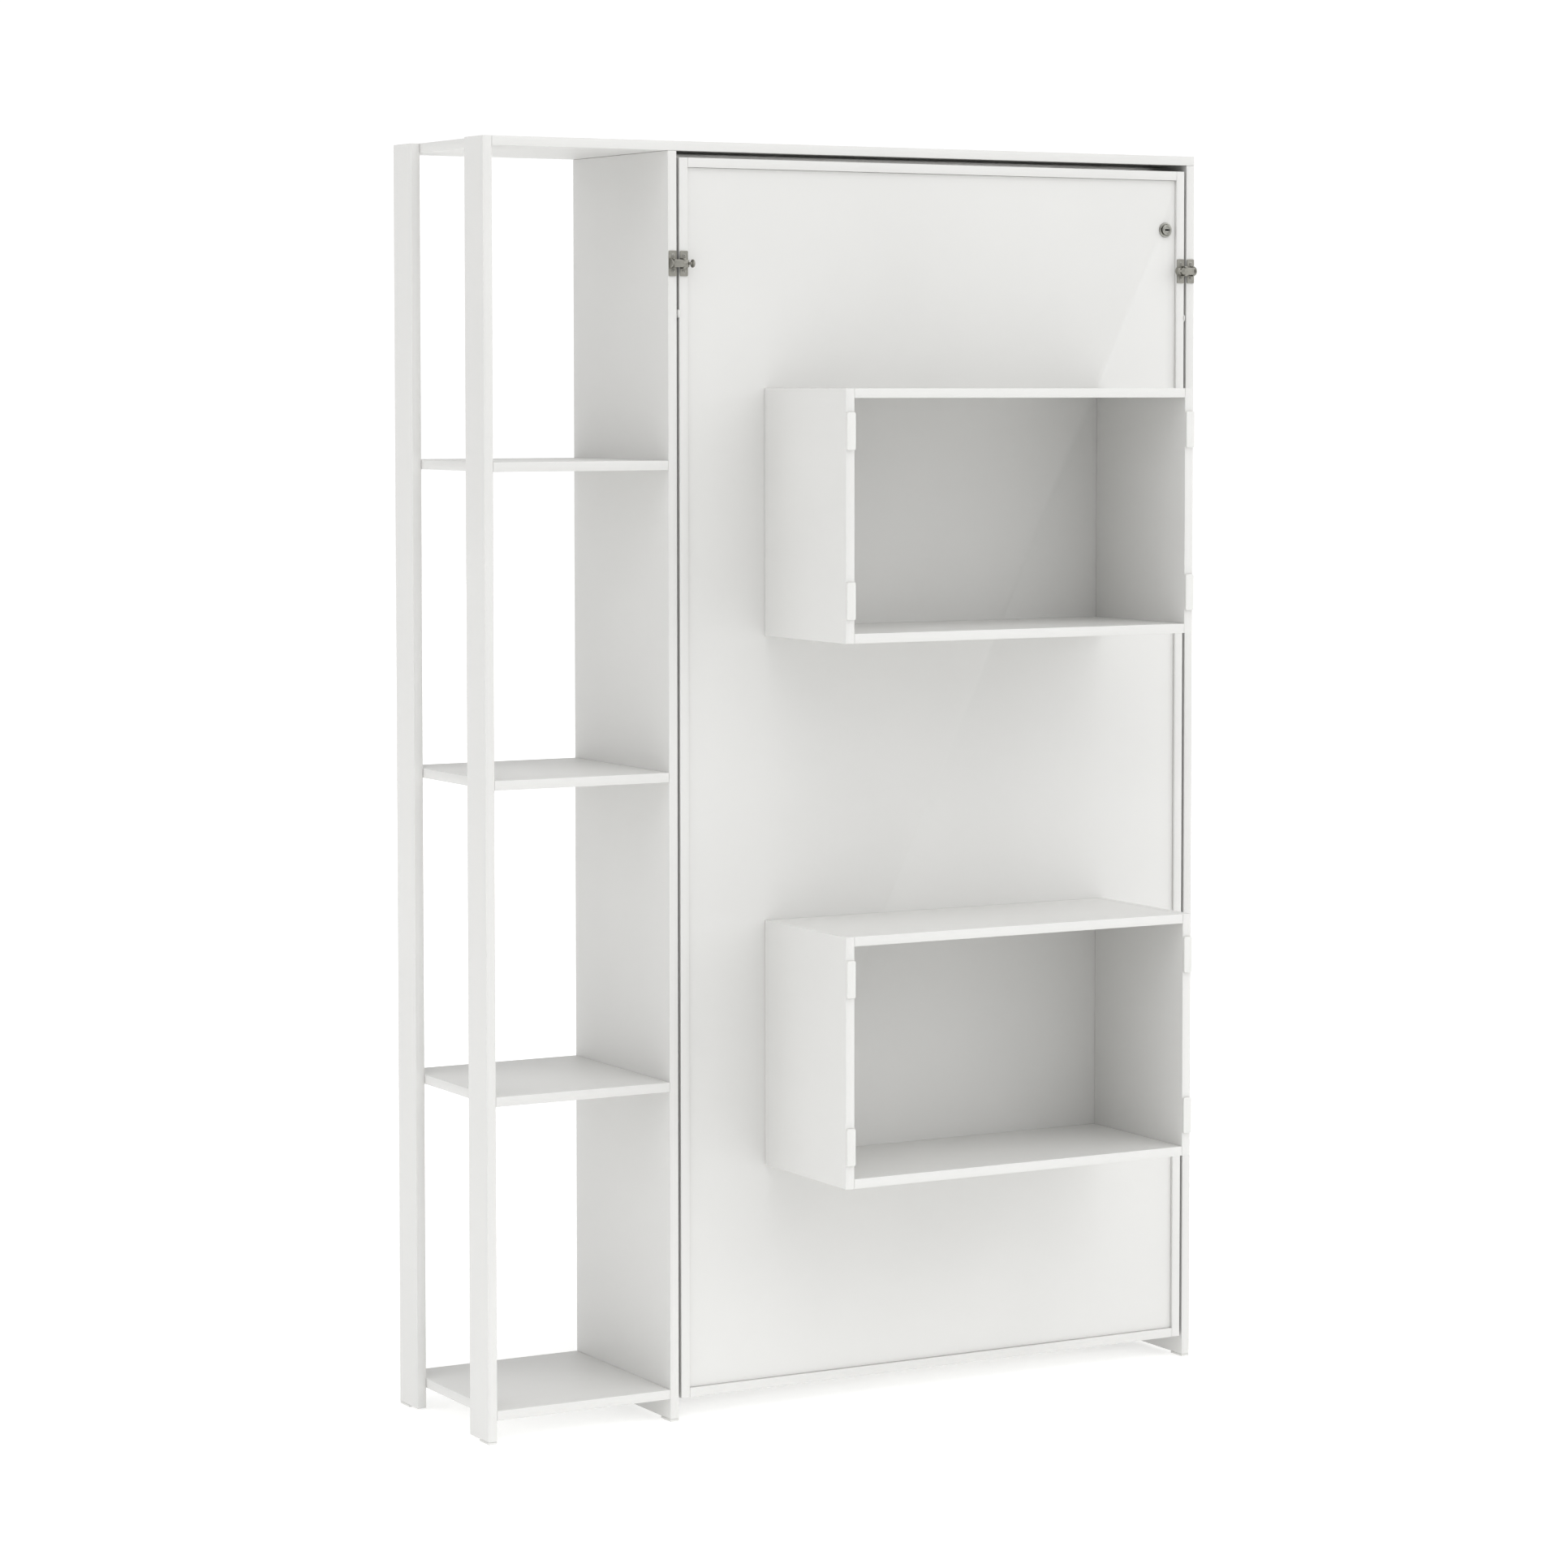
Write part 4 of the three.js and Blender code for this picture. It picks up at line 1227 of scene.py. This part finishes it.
def strap(name, z):
    """Webbing from one bearer, up the mattress's side, across its back and down again."""
    low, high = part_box("mattress")
    base_low, base_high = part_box("slatted_base")
    width, thick, slack, bend = 40 * MM, 1.6 * MM, 3.2 * MM, 20 * MM
    left, right = low.x - slack, high.x + slack
    middle = (left + right) / 2
    foot, back = base_high.y, high.y - 1.0 * MM
    half = [(base_low.x + 6 * MM, foot + 1.2 * MM), (left - 5 * MM, foot + 1.2 * MM)]
    half += [(left, foot + 6 * MM), (left, back - bend)]
    for i in range(1, 7):
        a = math.pi / 2 * i / 6
        half.append((left + bend * (1 - math.cos(a)), back - bend * (1 - math.sin(a))))
    start, steps = half[-1][0], 30
    half += [(start + (middle - start) * i / steps, back) for i in range(1, steps)]
    path = [Vector(p) for p in half + [(2 * middle - x, y) for x, y in reversed(half)]]

    shares = [i / 6 for i in range(7)]
    section = [(-thick / 2, width * (share - 0.5)) for share in shares]
    section += [(thick / 2, width * (0.5 - share)) for share in shares]
    rings, lengths = [], [0.0]
    for i, p in enumerate(path):
        ahead, behind = path[min(i + 1, len(path) - 1)], path[max(i - 1, 0)]
        way = (ahead - behind).normalized()
        if i:
            lengths.append(lengths[-1] + (p - path[i - 1]).length)
        out = Vector((-way.y, way.x))
        rings.append([(*(p + out * rise), z + along) for rise, along in section])
    across = [z + along for rise, along in [*section, section[0]]]
    piece(name, skin(rings, lengths, across, False), "bed", "ticking", WEBBING)
    buckle(f"{name}_buckle", Vector((middle + 180 * MM, back, z)))


def buckle(name, place):
    """A moulded side-release buckle that closes the strap."""
    blocks = [(-34, 4, -0.6, 5.5, -25, 25, 2.0), (4, 30, -0.6, 4.5, -22, 22, 2.0)]
    blocks += [(-16, 2, 0.5, 4.4, -28, -24, 1.4), (-16, 2, 0.5, 4.4, 24, 28, 1.4)]
    bm = bmesh.new()
    for x0, x1, y0, y1, z0, z1, width in blocks:
        low, high = Vector((x0, y0, z0)), Vector((x1, y1, z1))
        merge(bm, slab(place + low * MM, place + high * MM, width * MM))
    piece(name, bm, "bed", "black_steel", ENAMEL)


# ------------------------------------------------------------------ the whole

camera()
white_room()
pale_floor()
boards()
glides()
gap_bumpers()
steelwork()
for side in ("left", "right"):
    gas_strut(side)
    latch(side)
cam_lock()
slatted_base()
mattress()
for name, height in STRAPS:
    strap(name, height)
fasteners()

picture = bpy.context.scene.view_settings
picture.view_transform = "Standard"
picture.exposure = 0.1  # makes up, on the open faces, for the gamma that deepens the shade
picture.gamma = 0.8
